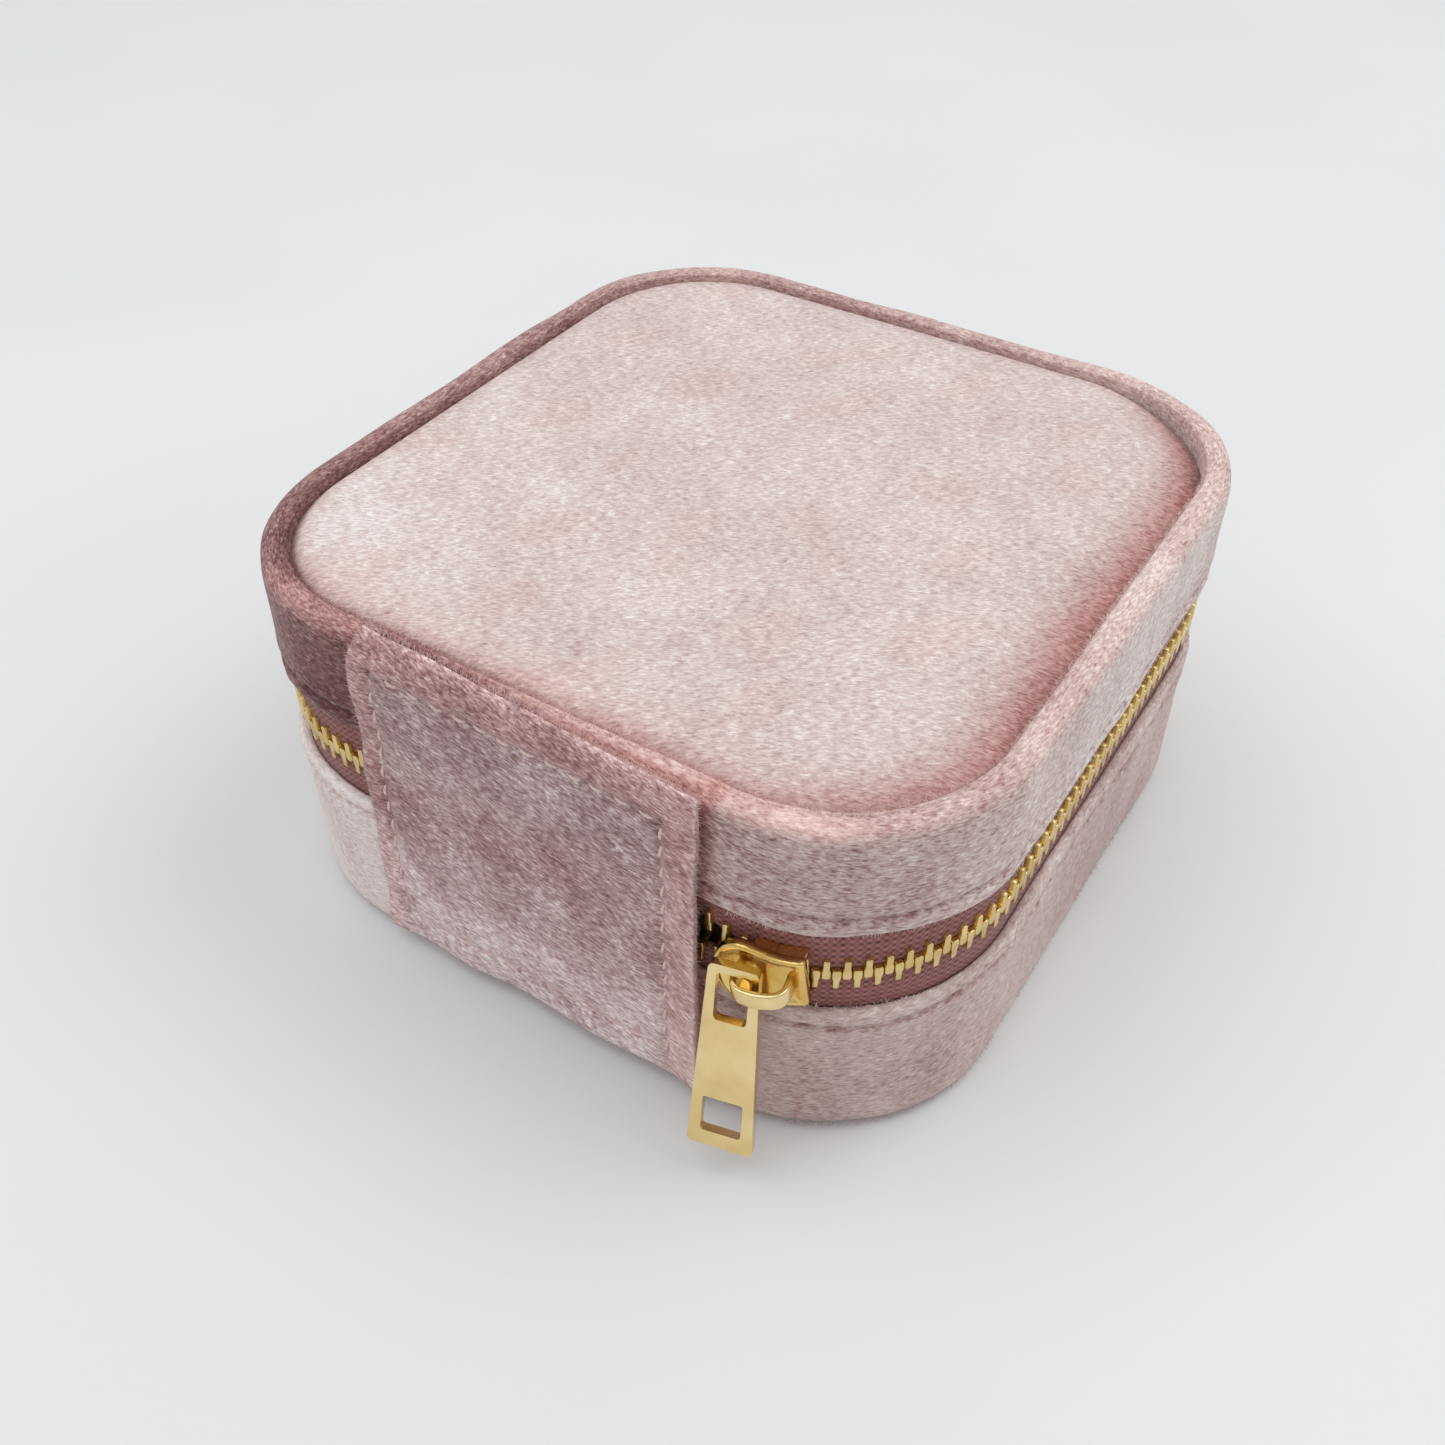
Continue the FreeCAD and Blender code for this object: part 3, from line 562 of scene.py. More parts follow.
def patch_tuck(x):
    """How far round the rim the patch's top edge lies: it sits askew, farther in at +X."""
    return np.radians(46 + 36 * along_patch(x))


def rim_groove(points):
    """The groove in the rim just behind the patch's top edge."""
    x, y, z = points[:, 0], points[:, 1], points[:, 2]
    place = DEPTH / 2 - RIM_R * (1 - np.cos(patch_tuck(x))) - 0.35
    return bell(y, place, 0.38) * between(*PATCH_SPAN, 2, x) * smooth(HEIGHT - 3, HEIGHT - 1.8, z)


def patch_shadow(points):
    """The strip of wall next to the patch's -X edge, darkened and reddened by painted shadow."""
    return bell(points[:, 0], PATCH_SPAN[0] + 0.3, 0.9) * (points[:, 1] > 45)


def wall_tone_and_side_light(points, around, seed):
    """Tone round a wall, with faint streaks, and painted light and sheen by side: around gives its lightness
    by degrees from +X round the box.
    """
    turn = np.degrees(np.arctan2(points[:, 1], points[:, 0])) % 360
    level = np.interp(turn, [p for p, _ in around], [v for _, v in around], period=360)
    streak = waves(points * [1, 1, 0.5], 11, seed) * 0.030 + waves(points, 34, seed + 1) * 0.045
    return level + streak


# Painted light and sheen: how light each side of the lid and of the base is painted, by degrees from +X round
# the box.
LID_SIDE_LIGHT = [(60, 0.03), (75, 0.06), (100, 0.36), (118, 0.50), (133, 0.62), (150, 0.72), (180, 0.78),
              (225, 0.66), (270, 0.57), (315, 0.50), (0, 0.38)]
BASE_SIDE_LIGHT = [(62, 0.94), (80, 0.72), (100, 0.59), (118, 0.60), (133, 0.61), (150, 0.60), (180, 0.525),
               (225, 0.52), (270, 0.52), (315, 0.56), (0, 0.70)]


def seam_shade(height, place):
    """Painted shade in the dents along a hem's seam. height is the distance from the hem, place runs round
    the outline.
    """
    stitch = 0.5 if place is None else 0.5 + 0.5 * np.cos(2 * math.pi * place / STITCH_STEP)
    return bell(height, HEM_SEAM, 0.42) * (0.12 + 0.16 * stitch)


def lid_tone_and_light(points, place):
    """Tone and rose of the lid's side: light on its rim, with a painted highlight along the hem and painted
    shade in the seam, in the groove behind the patch and beside the patch.
    """
    level = wall_tone_and_side_light(points, LID_SIDE_LIGHT, 11)
    z = points[:, 2]
    # edge: a painted highlight on the hem's fold, less the seam's painted shade
    edge = bell(z, LID_HEM, 0.8) * 0.14 - seam_shade(z - LID_HEM, place)
    back = smooth(44, 48, points[:, 1])
    rim = smooth(HEIGHT - 2.2, HEIGHT - 0.6, z)
    corner = smooth(10, 35, points[:, 1])
    rose = rim * (0.36 + 0.34 * back) + (0.25 * smooth(-20, 30, points[:, 0]) + 0.12 * corner) * (1 - rim)
    # Painted shade, darker and rosier, in the groove behind the patch's top edge
    groove = rim_groove(points)
    patch_shade = patch_shadow(points)
    level += edge + rim * (0.02 + 0.29 * back) - groove * 0.42 - patch_shade * 0.18
    return np.column_stack([level, rose + groove * 0.45 + patch_shade * 0.5])


def base_tone_and_light(points, place):
    """Tone and rose of the base's side: a painted highlight along its hem, and painted shade in the seam,
    beside the patch and towards the floor.
    """
    level = wall_tone_and_side_light(points, BASE_SIDE_LIGHT, 23)
    z = points[:, 2]
    # seam: painted shade in the seam's dents and beside the patch
    seam = seam_shade(BASE_HEM - z - hem_sag(points), place) + patch_shadow(points) * 0.18
    # A painted highlight along the hem, and painted shade over the last 3 mm towards the floor
    level = level + bell(z, BASE_HEM, 0.9) * 0.14 - seam - smooth(3.0, 0.0, z) * 0.10
    return np.column_stack([level, 0.08 + 0.08 * smooth(10, 35, points[:, 1]) + patch_shadow(points) * 0.5])


# ---- lid and base velvet ----


WALL_SEAM = 0.34, 0.22               # how deep the seam is drawn in, and how much deeper at a stitch


def soft_wall(hem, seed, up):
    """Loose, slightly wavy cloth, drawn in along the seam next to the hem."""
    def shape(points, place, inset, normal):
        outside = smooth(1.3, 0.4, inset)
        z = points[:, 2]
        out = waves(points, 26, seed) * 0.10 + waves(points, 9, seed + 1) * 0.035
        height = up * (z - hem)
        seam = bell(height, HEM_SEAM, 0.45)
        stitch = 0.5 + 0.5 * np.cos(2 * math.pi * place / STITCH_STEP)
        out -= seam * (WALL_SEAM[0] + WALL_SEAM[1] * stitch)
        puff = bell(height, 1.1, 0.8)
        out += puff * (0.20 + waves(points, 5, seed + 3) * 0.05) * (1 - stitch * 0.4)
        out += bell(height, HEM_SEAM + 1.3, 0.8) * 0.10
        points = points.copy()
        points[:, :2] += normal * (out * outside)[:, None]
        near = bell(height, 0, 1.5)
        points[:, 2] += near * (waves(points, 15, seed + 2) * 0.13 - up * 0.10 * stitch)
        points[:, 2] -= (up < 0) * smooth(8, 0, height) * hem_sag(points)
        return points
    return shape


LIP = 3.6                            # width of the rim round the top panel
LID_BOARD_TOP = cad_box("lid_top_board")[1][2]
OUTLINE = Outline(0.9)
FINE = 0.42                          # point spacing on the velvet that is seen from close by


def side_cover(body, section, material, shape, tone_and_light):
    """A body's velvet cover, swept round the outline. Its sheet is half the section's girth wide."""
    obj = sweep(body + "_side_velvet", OUTLINE, section, material, shape, tone_and_light, FINE)
    attach(obj, body, "velvet", body + "_velvet_cover")


def lid_side():
    section = [(1.28, LID_HEM + 0.9), (1.1, LID_HEM + 0.1), (0.35, LID_HEM - 0.1), (-0.05, LID_HEM + 0.8),
               (-0.05, 40), (0.0, HEIGHT - 5), (0.0, HEIGHT - 2.2), (0.3, HEIGHT - 0.6), (1.1, HEIGHT - 0.05),
               (2.3, HEIGHT + 0.05), (3.3, HEIGHT - 0.05), (LIP, HEIGHT - 0.5), (LIP, HEIGHT - 2.2),
               (LIP, LID_BOARD_TOP + 0.1), (2.9, LID_BOARD_TOP + 0.1), (2.87, HEIGHT - 1.5),
               (1.8, HEIGHT - 1.45), (1.78, LID_BOARD_TOP), (1.78, LID_HEM + 5.6), (1.25, LID_HEM + 5.0)]
    wall = soft_wall(LID_HEM, 31, 1)

    def shape(points, place, inset, normal):
        points = wall(points, place, inset, normal)
        rim = smooth(HEIGHT - 2.5, HEIGHT, points[:, 2])
        proud = smooth(-38, -48, points[:, 0])
        fold = bell(inset, 1.9 + waves(points, 16, 45) * 0.25, 0.35)
        points[:, 2] += rim * (waves(points, 22, 44) * 0.10 + proud * (0.12 + 0.12 * fold) - 0.12)
        points[:, 2] -= rim_groove(points) * smooth(3.5, 2.5, inset) * 0.7
        return points
    side_cover("lid", section, LID_VELVET, shape, lid_tone_and_light)


def base_side():
    section = [(1.28, BASE_HEM - 0.9), (1.1, BASE_HEM - 0.1), (0.35, BASE_HEM + 0.1), (-0.05, BASE_HEM - 0.8),
               (-0.05, 18), (0.0, 6.0), (0.0, 2.9), (0.3, 1.2), (1.4, 0.28), (3.0, 0.22), (6.2, 0.25),
               (6.2, 1.38), (3.5, 1.38), (1.8, 1.38), (1.78, 4.0), (1.78, BASE_HEM - 5.6),
               (1.25, BASE_HEM - 5.0)]
    side_cover("base", section, BASE_VELVET, soft_wall(BASE_HEM, 57, -1), base_tone_and_light)


# ---- padded top and flat panels ----


def panel_grid(inset, step):
    """Points and faces that fill the outline drawn in by inset. Also each point's distance from its edge."""
    reach = CORNER_R - inset
    n_x, n_y = round(2 * FLAT_X / step), round(2 * FLAT_Y / step)
    n_ring, n_arc = max(4, round(reach / step)), max(6, round(reach * math.pi / 2 / step))
    centres, angles = [], []
    for k, (x, y) in enumerate(CORNERS):
        next_x, next_y = CORNERS[(k + 1) % 4]
        start, flat_n = 90 + 90 * k, (n_y, n_x)[k % 2]
        for i in range(n_arc):
            centres.append((x, y))
            angles.append(start + 90 * i / n_arc)
        for i in range(flat_n):
            centres.append((x + (next_x - x) * i / flat_n, y + (next_y - y) * i / flat_n))
            angles.append(start + 90)
    centres, angles = np.array(centres), np.radians(angles)
    normal = np.stack([np.cos(angles), np.sin(angles)], 1)
    depth = reach * (1 - np.linspace(1, 0, n_ring + 1) ** 1.6)
    rings = centres[None] + normal[None] * (reach - depth)[:, None, None]
    inner = lattice(np.linspace(-FLAT_X, FLAT_X, n_x + 1), np.linspace(-FLAT_Y, FLAT_Y, n_y + 1))
    verts = np.concatenate([rings.reshape(-1, 2), inner])
    count = len(angles)
    middle = quads(n_x + 1, n_y + 1) + (n_ring + 1) * count
    faces = np.concatenate([quads(n_ring + 1, count, wrap_rows=True)[:, [0, 3, 2, 1]], middle])
    inside = reach - (np.abs(inner) - (FLAT_X, FLAT_Y)).max(1)
    edge = np.concatenate([np.repeat(depth, count), inside])
    return verts, faces, edge, count


def closed_panel(name, inset, step, top, bottom, material, tone_and_light):
    """A panel with a shaped top and a shaped underside. top and bottom give z from (x, y, edge distance)."""
    flat, faces, edge, count = panel_grid(inset, step)
    upper = np.column_stack([flat, top(flat, edge)])
    lower = np.column_stack([flat, bottom(flat, edge)])
    verts = np.concatenate([upper, lower])
    k = np.arange(count)
    k2 = (k + 1) % count
    side = np.stack([k, k2, k2 + len(flat), k + len(flat)], 1)
    all_faces = np.concatenate([faces, faces[:, ::-1] + len(flat), side])
    uvs = verts[all_faces.reshape(-1)][:, :2]
    obj = piece(name, verts, all_faces, material, uvs, tone_and_light(verts))
    settle(obj.data, weld=True)
    return obj


def left_side(x):
    """How much a point belongs to the -X side, where the lip stands proud of the panel."""
    return smooth(-24, -42, x)


def top_height(flat, edge):
    """The padded top: crowned, tucked in at its edge, and drawn down in a crease along the -X lip."""
    x, y = flat[:, 0], flat[:, 1]
    crown = 0.60 * (1 - (x / 50) ** 2) * (1 - (y / 51) ** 2)
    crease = left_side(x) * (smooth(12, 0, edge) * 1.6 + smooth(3.5, 0, edge) * 0.9)
    tuck = 1.3 * (1 - np.sqrt(np.clip(1 - (1 - np.clip(edge / 1.9, 0, 1)) ** 2, 0, 1))) * (1 - left_side(x))
    ripple = (waves(flat, 31, 71) * 0.10 + waves(flat, 12, 72) * 0.03) * smooth(0, 6, edge)
    return HEIGHT - 0.55 + crown - crease - tuck + ripple


def top_tone_and_light(points):
    x, y = points[:, 0], points[:, 1]
    edge = CORNER_R - LIP - np.hypot(*past_flats(points).T)
    # near: painted shade in the crease along the -X lip; rim: painted shade where the panel tucks in on the
    # other sides
    near = smooth(9, 0, edge) * left_side(x)
    rim = smooth(3.2, 0, edge) * (1 - left_side(x))
    level = 0.72 + waves(points[:, :2], 26, 81) * 0.020 + waves(points[:, :2], 9, 82) * 0.014
    # Painted sheen, lighter towards the +X, +Y corner, less the painted shade of the crease and of the tucked
    # edge
    level += smooth(10, 45, x) * smooth(-10, 40, y) * 0.12 - near * 0.30 - rim * 0.14
    # The crease and the tucked edge are also painted rosier, as painted bounced light in their shade
    rose = near ** 1.5 * 0.95 + rim * 0.35 + smooth(38, 47, y) * 0.20
    rose += np.clip(waves(points[:, :2], 17, 83) - 0.6, 0, 1) * 0.14
    return np.column_stack([level, np.clip(rose, 0, 1)])


def level_at(z):
    """A flat panel face at the height z."""
    return lambda flat, edge: np.full(len(flat), z)


def top_panel():
    obj = closed_panel("lid_top_panel", LIP - 0.02, 1.1, top_height, level_at(LID_BOARD_TOP + 0.05),
                       TOP_VELVET, top_tone_and_light)
    attach(obj, "lid", "velvet", "lid_top_velvet", "lid_top_foam")


def bottom_panel():
    low, high = cad_box("base_bottom_velvet")
    obj = closed_panel("base_bottom_panel", 6.3, 2.6, level_at(high[2] - 0.02),
                       lambda flat, edge: low[2] + 0.5 * (1 - smooth(0, 1.2, edge)),
                       BASE_VELVET, lambda points: 0.5 + waves(points[:, :2], 18, 91) * 0.08)
    attach(obj, "base", "velvet", "base_bottom_velvet")


lid_side()
base_side()
top_panel()
bottom_panel()

# ---- loose pile along the edges ----


def fibres(name, roots, directions, lengths, width, material, seed, tone_and_light):
    """Loose pile fibres: narrow bent blades, three points long. tone_and_light gives their tone and painted
    light from the points.
    """
    random = np.random.default_rng(seed)
    count = len(roots)
    directions = directions / np.linalg.norm(directions, axis=1)[:, None]
    side = np.cross(directions, random.normal(size=(count, 3)))
    side /= np.linalg.norm(side, axis=1)[:, None]
    bend = random.normal(0, 0.28, size=(count, 3))
    half = side * width / 2
    middle = roots + directions * lengths[:, None] * 0.5
    tip = roots + (directions + bend) * lengths[:, None]
    verts = np.stack([roots - half, roots + half, middle + half * 0.8, middle - half * 0.8, tip], 1)
    verts = verts.reshape(-1, 3)
    first = np.arange(count)[:, None] * 5
    feet, tips = (first + [0, 1, 2, 3]).tolist(), (first + [3, 2, 4]).tolist()
    return piece(name, verts, feet + tips, material, None, tone_and_light(verts), False)


def edge_pile(name, body, lines, tone_and_light, material, seed):
    """Fibres out of a cover's edges. A line is its inset, height, lean out, lean up, and number a mm."""
    random = np.random.default_rng(seed)
    roots, directions = [], []
    for inset, z, out, up, per_mm in lines:
        k = random.integers(0, len(OUTLINE.place), int(OUTLINE.length * per_mm))
        normal = np.column_stack([OUTLINE.normal[k], np.zeros(len(k))])
        ahead = np.column_stack([-OUTLINE.normal[k, 1], OUTLINE.normal[k, 0], np.zeros(len(k))])
        root = np.column_stack([OUTLINE.centre[k], np.full(len(k), z)]) + normal * (CORNER_R - inset)
        root += ahead * random.uniform(0, 0.9, (len(k), 1)) + random.normal(0, 0.10, (len(k), 3))
        lean = normal * out + np.array([0, 0, up]) + random.normal(0, 0.45, (len(k), 3))
        behind = (root[:, 1] > 0) & (root[:, 0] > PATCH_SPAN[0] - 1.5) & (root[:, 0] < PATCH_SPAN[1] + 1.5)
        seen = ~behind | (z > HEIGHT - 3)
        roots.append(root[seen])
        directions.append(lean[seen])
    roots, directions = np.concatenate(roots), np.concatenate(directions)
    lengths = random.uniform(0.25, 0.60, len(roots))

    def lighter(points):
        return tone_and_light(points, None) + [0.12, 0]
    attach(fibres(name, roots, directions, lengths, 0.07, material, seed, lighter), body, "velvet")


LID_PILE = [(LIP - 0.1, HEIGHT - 0.35, -0.7, 0.7, 22), (2.6, HEIGHT - 0.1, -0.5, 0.6, 8),
            (0.3, LID_HEM + 0.1, 0.3, -0.9, 9)]
BASE_PILE = [(0.3, BASE_HEM - 0.1, 0.3, 0.9, 9), (0.6, 0.8, 0.9, -0.1, 7)]
edge_pile("lid_edge_pile", "lid", LID_PILE, lid_tone_and_light, LID_VELVET, 13)
edge_pile("base_edge_pile", "base", BASE_PILE, base_tone_and_light, BASE_VELVET, 14)

# ---- hinge patch ----
patch_low, patch_high = cad_box("hinge_patch")
SEAM_X = [cad_box("patch_stitching_base")[0][0] + 0.25, cad_box("patch_stitching_base")[1][0] - 0.25]
SEAM_Z = [cad_box("patch_stitching_base")[0][2] + 0.25, cad_box("patch_stitching_lid")[1][2] - 0.25]
PATCH_GRID = 0.42                    # point spacing on the patch
PATCH_SEAM = 0.26, 0.14              # how deep the patch's seams are, and how much deeper at a stitch
PATCH_STITCH = 3.0                   # from stitch to stitch along the patch's seams
SEAM_SKEW = 2.0                      # how much higher the top seam lies at the +X end
LEAN = (0.5, 0.8, 2.5)               # how far +X its two edges lie, and how much farther the +X one's foot
PATCH_STRAIGHT = HEIGHT - RIM_R - 0.3 - patch_low[2]


def patch_length(x):
    """Length of the patch up the wall and in over the rim."""
    return PATCH_STRAIGHT + (RIM_R + PATCH_T) * patch_tuck(x)


def patch_line(t):
    """Side view of the patch's outer face at t millimetres up it: y, z and the outward direction."""
    radius = RIM_R + PATCH_T
    bend = np.clip((t - PATCH_STRAIGHT) / radius, 0, math.pi / 2)
    y = DEPTH / 2 + 0.12 + PATCH_T - radius * (1 - np.cos(bend))
    z = patch_low[2] + np.minimum(t, PATCH_STRAIGHT) + radius * np.sin(bend)
    return y, z, np.cos(bend), np.sin(bend)


PATCH_LENGTH = float(patch_length(np.mean(PATCH_SPAN)))


def top_seam(x):
    """Height of the patch's upper seam, which runs askew."""
    return SEAM_Z[1] + SEAM_SKEW * along_patch(x)


def patch_relief(x, t):
    """How far the patch's face stands out: waves, sunk seams with stitch dents, a padded middle."""
    flat = np.stack([x.ravel(), t.ravel()], 1)
    height, seam_top = t + patch_low[2], top_seam(x)
    lift = (waves(flat, 17, 101) * 0.10 + waves(flat, 7, 102) * 0.04).reshape(x.shape)
    along = np.cos(2 * math.pi * t / PATCH_STITCH) * 0.5 + 0.5
    across = np.cos(2 * math.pi * x / PATCH_STITCH) * 0.5 + 0.5
    inside_z = between(SEAM_Z[0] - 1, seam_top + 1, 1, height)
    inside_x = between(SEAM_X[0] - 1, SEAM_X[1] + 1, 1, x)
    for seam in SEAM_X:
        lift -= bell(x, seam, 0.5) * inside_z * (PATCH_SEAM[0] + PATCH_SEAM[1] * along)
    for seam in (SEAM_Z[0], seam_top):
        lift -= bell(height, seam, 0.5) * inside_x * (PATCH_SEAM[0] + PATCH_SEAM[1] * across)
    middle = between(SEAM_X[0] + 0.5, SEAM_X[1] - 0.5, 5.5, x) * between(SEAM_Z[0], seam_top, 6, height)
    return lift + middle * 0.25


def patch_curl(x, t, length):
    """How far the patch's free edges stand off the wall."""
    open_edge = smooth(patch_low[0] + 4, patch_low[0], x) * smooth(44, 30, t + patch_low[2])
    curl = open_edge * 0.55 + smooth(patch_high[0] - 3, patch_high[0], x) * 0.15
    return curl + smooth(length - 2.5, length, t) * 0.25


def patch_surface():
    """Grids of the patch's outer and inner faces, and how near each point is to the top or the -X edge."""
    xs = np.linspace(patch_low[0], patch_high[0], round((patch_high[0] - patch_low[0]) / PATCH_GRID))
    x, t = np.meshgrid(xs, np.linspace(0, 1, round(PATCH_LENGTH / PATCH_GRID)), indexing="ij")
    length = patch_length(x)
    t = t * length
    y, z, out_y, out_z = patch_line(t)
    lift, curl, along = patch_relief(x, t), patch_curl(x, t, length), along_patch(x)
    place = x + waves(t.reshape(-1, 1), 19, 103).reshape(x.shape) * 0.15 * (along - 0.5)
    place += LEAN[0] * (1 - along) + along * (LEAN[1] + LEAN[2] * (1 - t / length))
    edge = np.minimum(np.minimum(x - patch_low[0], patch_high[0] - x), np.minimum(t, length - t))
    under = curl - PATCH_T + 0.25 * np.exp(-edge / 0.5)
    outer, inner = (np.stack([place, y + off * out_y, z + off * out_z], 2) for off in (lift + curl, under))
    # bright: where a painted highlight lies along the top and -X cut edges
    bright = np.exp(-np.minimum(length - t, x - patch_low[0]) / 0.45)
    return outer, inner, bright, x


def patch_tone_and_light(points, bright, x):
    """Tone of the patch: mottled, lighter towards its foot, rosy on the margin outside its seams, with
    painted shade along its side seams and a painted highlight on its top and -X edges.
    """
    z = points[:, 2]
    level = 0.50 + waves(points[:, [0, 2]], 15, 111) * 0.045 + waves(points[:, [0, 2]], 6.5, 112) * 0.03
    level += smooth(26, 6, z) * 0.30 - smooth(30, 44, z) * 0.03
    seam_top = top_seam(x)
    beyond = (smooth(SEAM_X[0] + 0.3, SEAM_X[0] - 0.8, x), smooth(seam_top - 0.3, seam_top + 0.8, z),
              smooth(SEAM_X[1] - 0.3, SEAM_X[1] + 0.8, x))
    margin = np.maximum.reduce(beyond)
    # seam: painted shade along the side seams
    seam = np.maximum(bell(x, SEAM_X[0], 0.45), bell(x, SEAM_X[1], 0.45))
    rose = 0.10 + 0.14 * smooth(44, 32, z) * (1 - margin) + margin * 0.45
    return np.column_stack([level + margin * 0.05 - seam * 0.08 + bright * 0.28, rose])


def attach_hinged(obj, slot, *nodes):
    """Bakes a piece's transform into its mesh and hides the CAD nodes that it replaces; slot is not used."""
    if nodes:
        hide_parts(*nodes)
    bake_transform(obj)


def hinge_patch():
    outer, inner, bright, x = patch_surface()
    bright, x = np.tile(bright.ravel(), 2), np.tile(x.ravel(), 2)
    obj = sheet_piece("hinge_patch_velvet", outer, inner, PATCH_VELVET,
                      lambda points: patch_tone_and_light(points, bright, x))
    attach_hinged(obj, "patch_velvet", "hinge_patch")
    return outer


def capsules(name, stitches, length, thick, material):
    """Thread stitches as one joined piece: short rounded bars that bend in. Each stitch is its middle,
    the way that it runs and the way to its side."""
    rings, section = 7, 8
    t = np.linspace(-1, 1, rings)[:, None, None]
    turn = np.linspace(0, 2 * math.pi, section, endpoint=False)[None, :, None]
    radius = np.sqrt(np.clip(1 - np.abs(t) ** 3, 0.02, 1)) * thick / 2
    parts = []
    for middle, along, side in np.array(stitches, float):
        along = along / np.linalg.norm(along)
        out = np.cross(along, side)
        points = middle + along * t * length / 2 - out * t ** 2 * thick * 0.7
        points = points + (side * np.cos(turn) + out * np.sin(turn)) * radius
        parts.append((points.reshape(-1, 3), tube_faces(rings, section)))
    return piece(name, *joined(parts), material)


def patch_stitches(outer):
    """Seam thread that follows the patch's own surface."""
    xs = np.linspace(patch_low[0], patch_high[0], len(outer))

    def surface(x, t):
        return outer[int(np.abs(xs - x).argmin()), round(t / patch_length(x) * (outer.shape[1] - 1))]
    random = np.random.default_rng(5)
    stitches = []
    low_t = SEAM_Z[0] - patch_low[2]
    for seam in SEAM_X:
        for t in np.arange(low_t + 1.2, top_seam(seam) - patch_low[2] - 0.8, PATCH_STITCH):
            middle = surface(seam, t) + [random.normal(0, 0.06), 0.16, random.normal(0, 0.1)]
            stitches.append((middle, (-0.10 + random.normal(0, 0.05), 0, 1), (1, 0, 0)))
    for skew in (False, True):
        for x in np.arange(SEAM_X[0] + 1.5, SEAM_X[1] - 0.8, PATCH_STITCH):
            t = top_seam(x) - patch_low[2] if skew else low_t
            middle = surface(x, t) + [random.normal(0, 0.1), 0.16, random.normal(0, 0.06)]
            stitches.append((middle, (1, 0, 0.08 + random.normal(0, 0.05)), (0, 0, -1)))
    obj = capsules("patch_thread", stitches, 2.1, 0.42, THREAD)
    attach_hinged(obj, "thread", "patch_stitching_base", "patch_stitching_lid")


def patch_fringe(outer):
    """Pile that stands out of the patch's cut edges."""
    random = np.random.default_rng(9)
    roots, directions = [], []
    edges = [(outer[0], (-1, 0.25, 0), 34), (outer[-1], (1, 0.2, 0), 14), (outer[:, 0], (0, 0.2, -1), 8),
             (outer[:, -1], (0, -0.5, 0.9), 22)]
    for line, direction, per_mm in edges:
        length = np.linalg.norm(np.diff(line, axis=0), axis=1).sum()
        for _ in range(int(length * per_mm)):
            place = random.uniform(0, len(line) - 1)
            low = int(place)
            root = line[low] + (line[min(low + 1, len(line) - 1)] - line[low]) * (place - low)
            roots.append(root - np.array(direction) * 0.12 + [0, -random.uniform(0, 0.6), 0])
            directions.append(np.array(direction) + random.normal(0, 0.35, 3))
    lengths = random.uniform(0.25, 0.75, len(roots))
    nub = outer[int(len(outer) * 0.5), -1]
    for _ in range(40):
        roots.append(nub + random.normal(0, 0.25, 3))
        directions.append(random.normal(0, 1, 3) + [0, 0.3, 0.8])
    lengths = np.concatenate([lengths, random.uniform(0.8, 1.7, len(roots) - len(lengths))])
    obj = fibres("patch_edge_pile", np.array(roots), np.array(directions), lengths, 0.085, PATCH_VELVET, 12,
                 lambda points: np.tile((0.78, 0.35), (len(points), 1)))
    attach_hinged(obj, "patch_velvet")


patch_outer = hinge_patch()
patch_stitches(patch_outer)
patch_fringe(patch_outer)

# ---- zip ----
PITCH = 2.14                         # from tooth to tooth
TAPE_END = 12.0                      # |x| where the tapes end behind the patch
TUCK = 5.2                           # how far a tape reaches in behind its hem
ZIP_START, ZIP_END = -17.0, 13.5     # x where the teeth start and end behind the patch
SPREAD, SPREAD_MAX = 0.29, 3.0       # slope at which the rows part ahead of the slider, and how far
SLIDER_AT = 102.8                    # the slider's place: degrees round the axis of its corner
CHAIN_DIP, DIP_LENGTH, DIP_FROM = 0.9, 9.0, 7.0     # the slider's weight draws the chain down past its tail


def track(s, inset=None):
    """Chain line at s millimetres from the middle of the back wall: point and outward angle."""
    centre, angle = way_round(s, CORNER_R - TRACK_INSET)
    reach = CORNER_R - (TRACK_INSET if inset is None else inset)
    return centre + np.array([math.cos(angle), math.sin(angle)]) * reach, angle


TRACK_LENGTH = 4 * (FLAT_X + FLAT_Y) + 2 * math.pi * (CORNER_R - TRACK_INSET)
SLIDER_S = FLAT_X + math.radians(SLIDER_AT - 90) * (CORNER_R - TRACK_INSET)


def spread(s):
    """How far a row lies from the closed chain at s: the rows part ahead of the slider."""
    return min(SPREAD_MAX, max(0.0, SPREAD * (SLIDER_S - s)))


def dip(s):
    """How far the chain hangs down at s, just past the slider's tail."""
    return CHAIN_DIP * math.exp(-((s - SLIDER_S - DIP_FROM) / DIP_LENGTH) ** 2)


def tooth_mesh():
    """One tooth, chain along X, head up: a narrow leg and a wider head with a dimple between them."""
    outline = [(-0.36, -2.15), (0.36, -2.15), (0.38, -0.85), (0.50, -0.55), (0.50, 0.45), (0.36, 0.66),
               (-0.36, 0.66), (-0.50, 0.45), (-0.50, -0.55), (-0.38, -0.85)]
    obj = prism("tooth", [outline], 2.1, BRASS)
    bevelled(obj, 0.13, 2)
    co = np.array([v.co for v in obj.data.vertices]) / MM
    co = np.stack([co[:, 0], co[:, 2] - 1.05, co[:, 1]], 1)
    faces = [tuple(p.vertices) for p in obj.data.polygons]
    bpy.data.objects.remove(obj)
    return co, faces


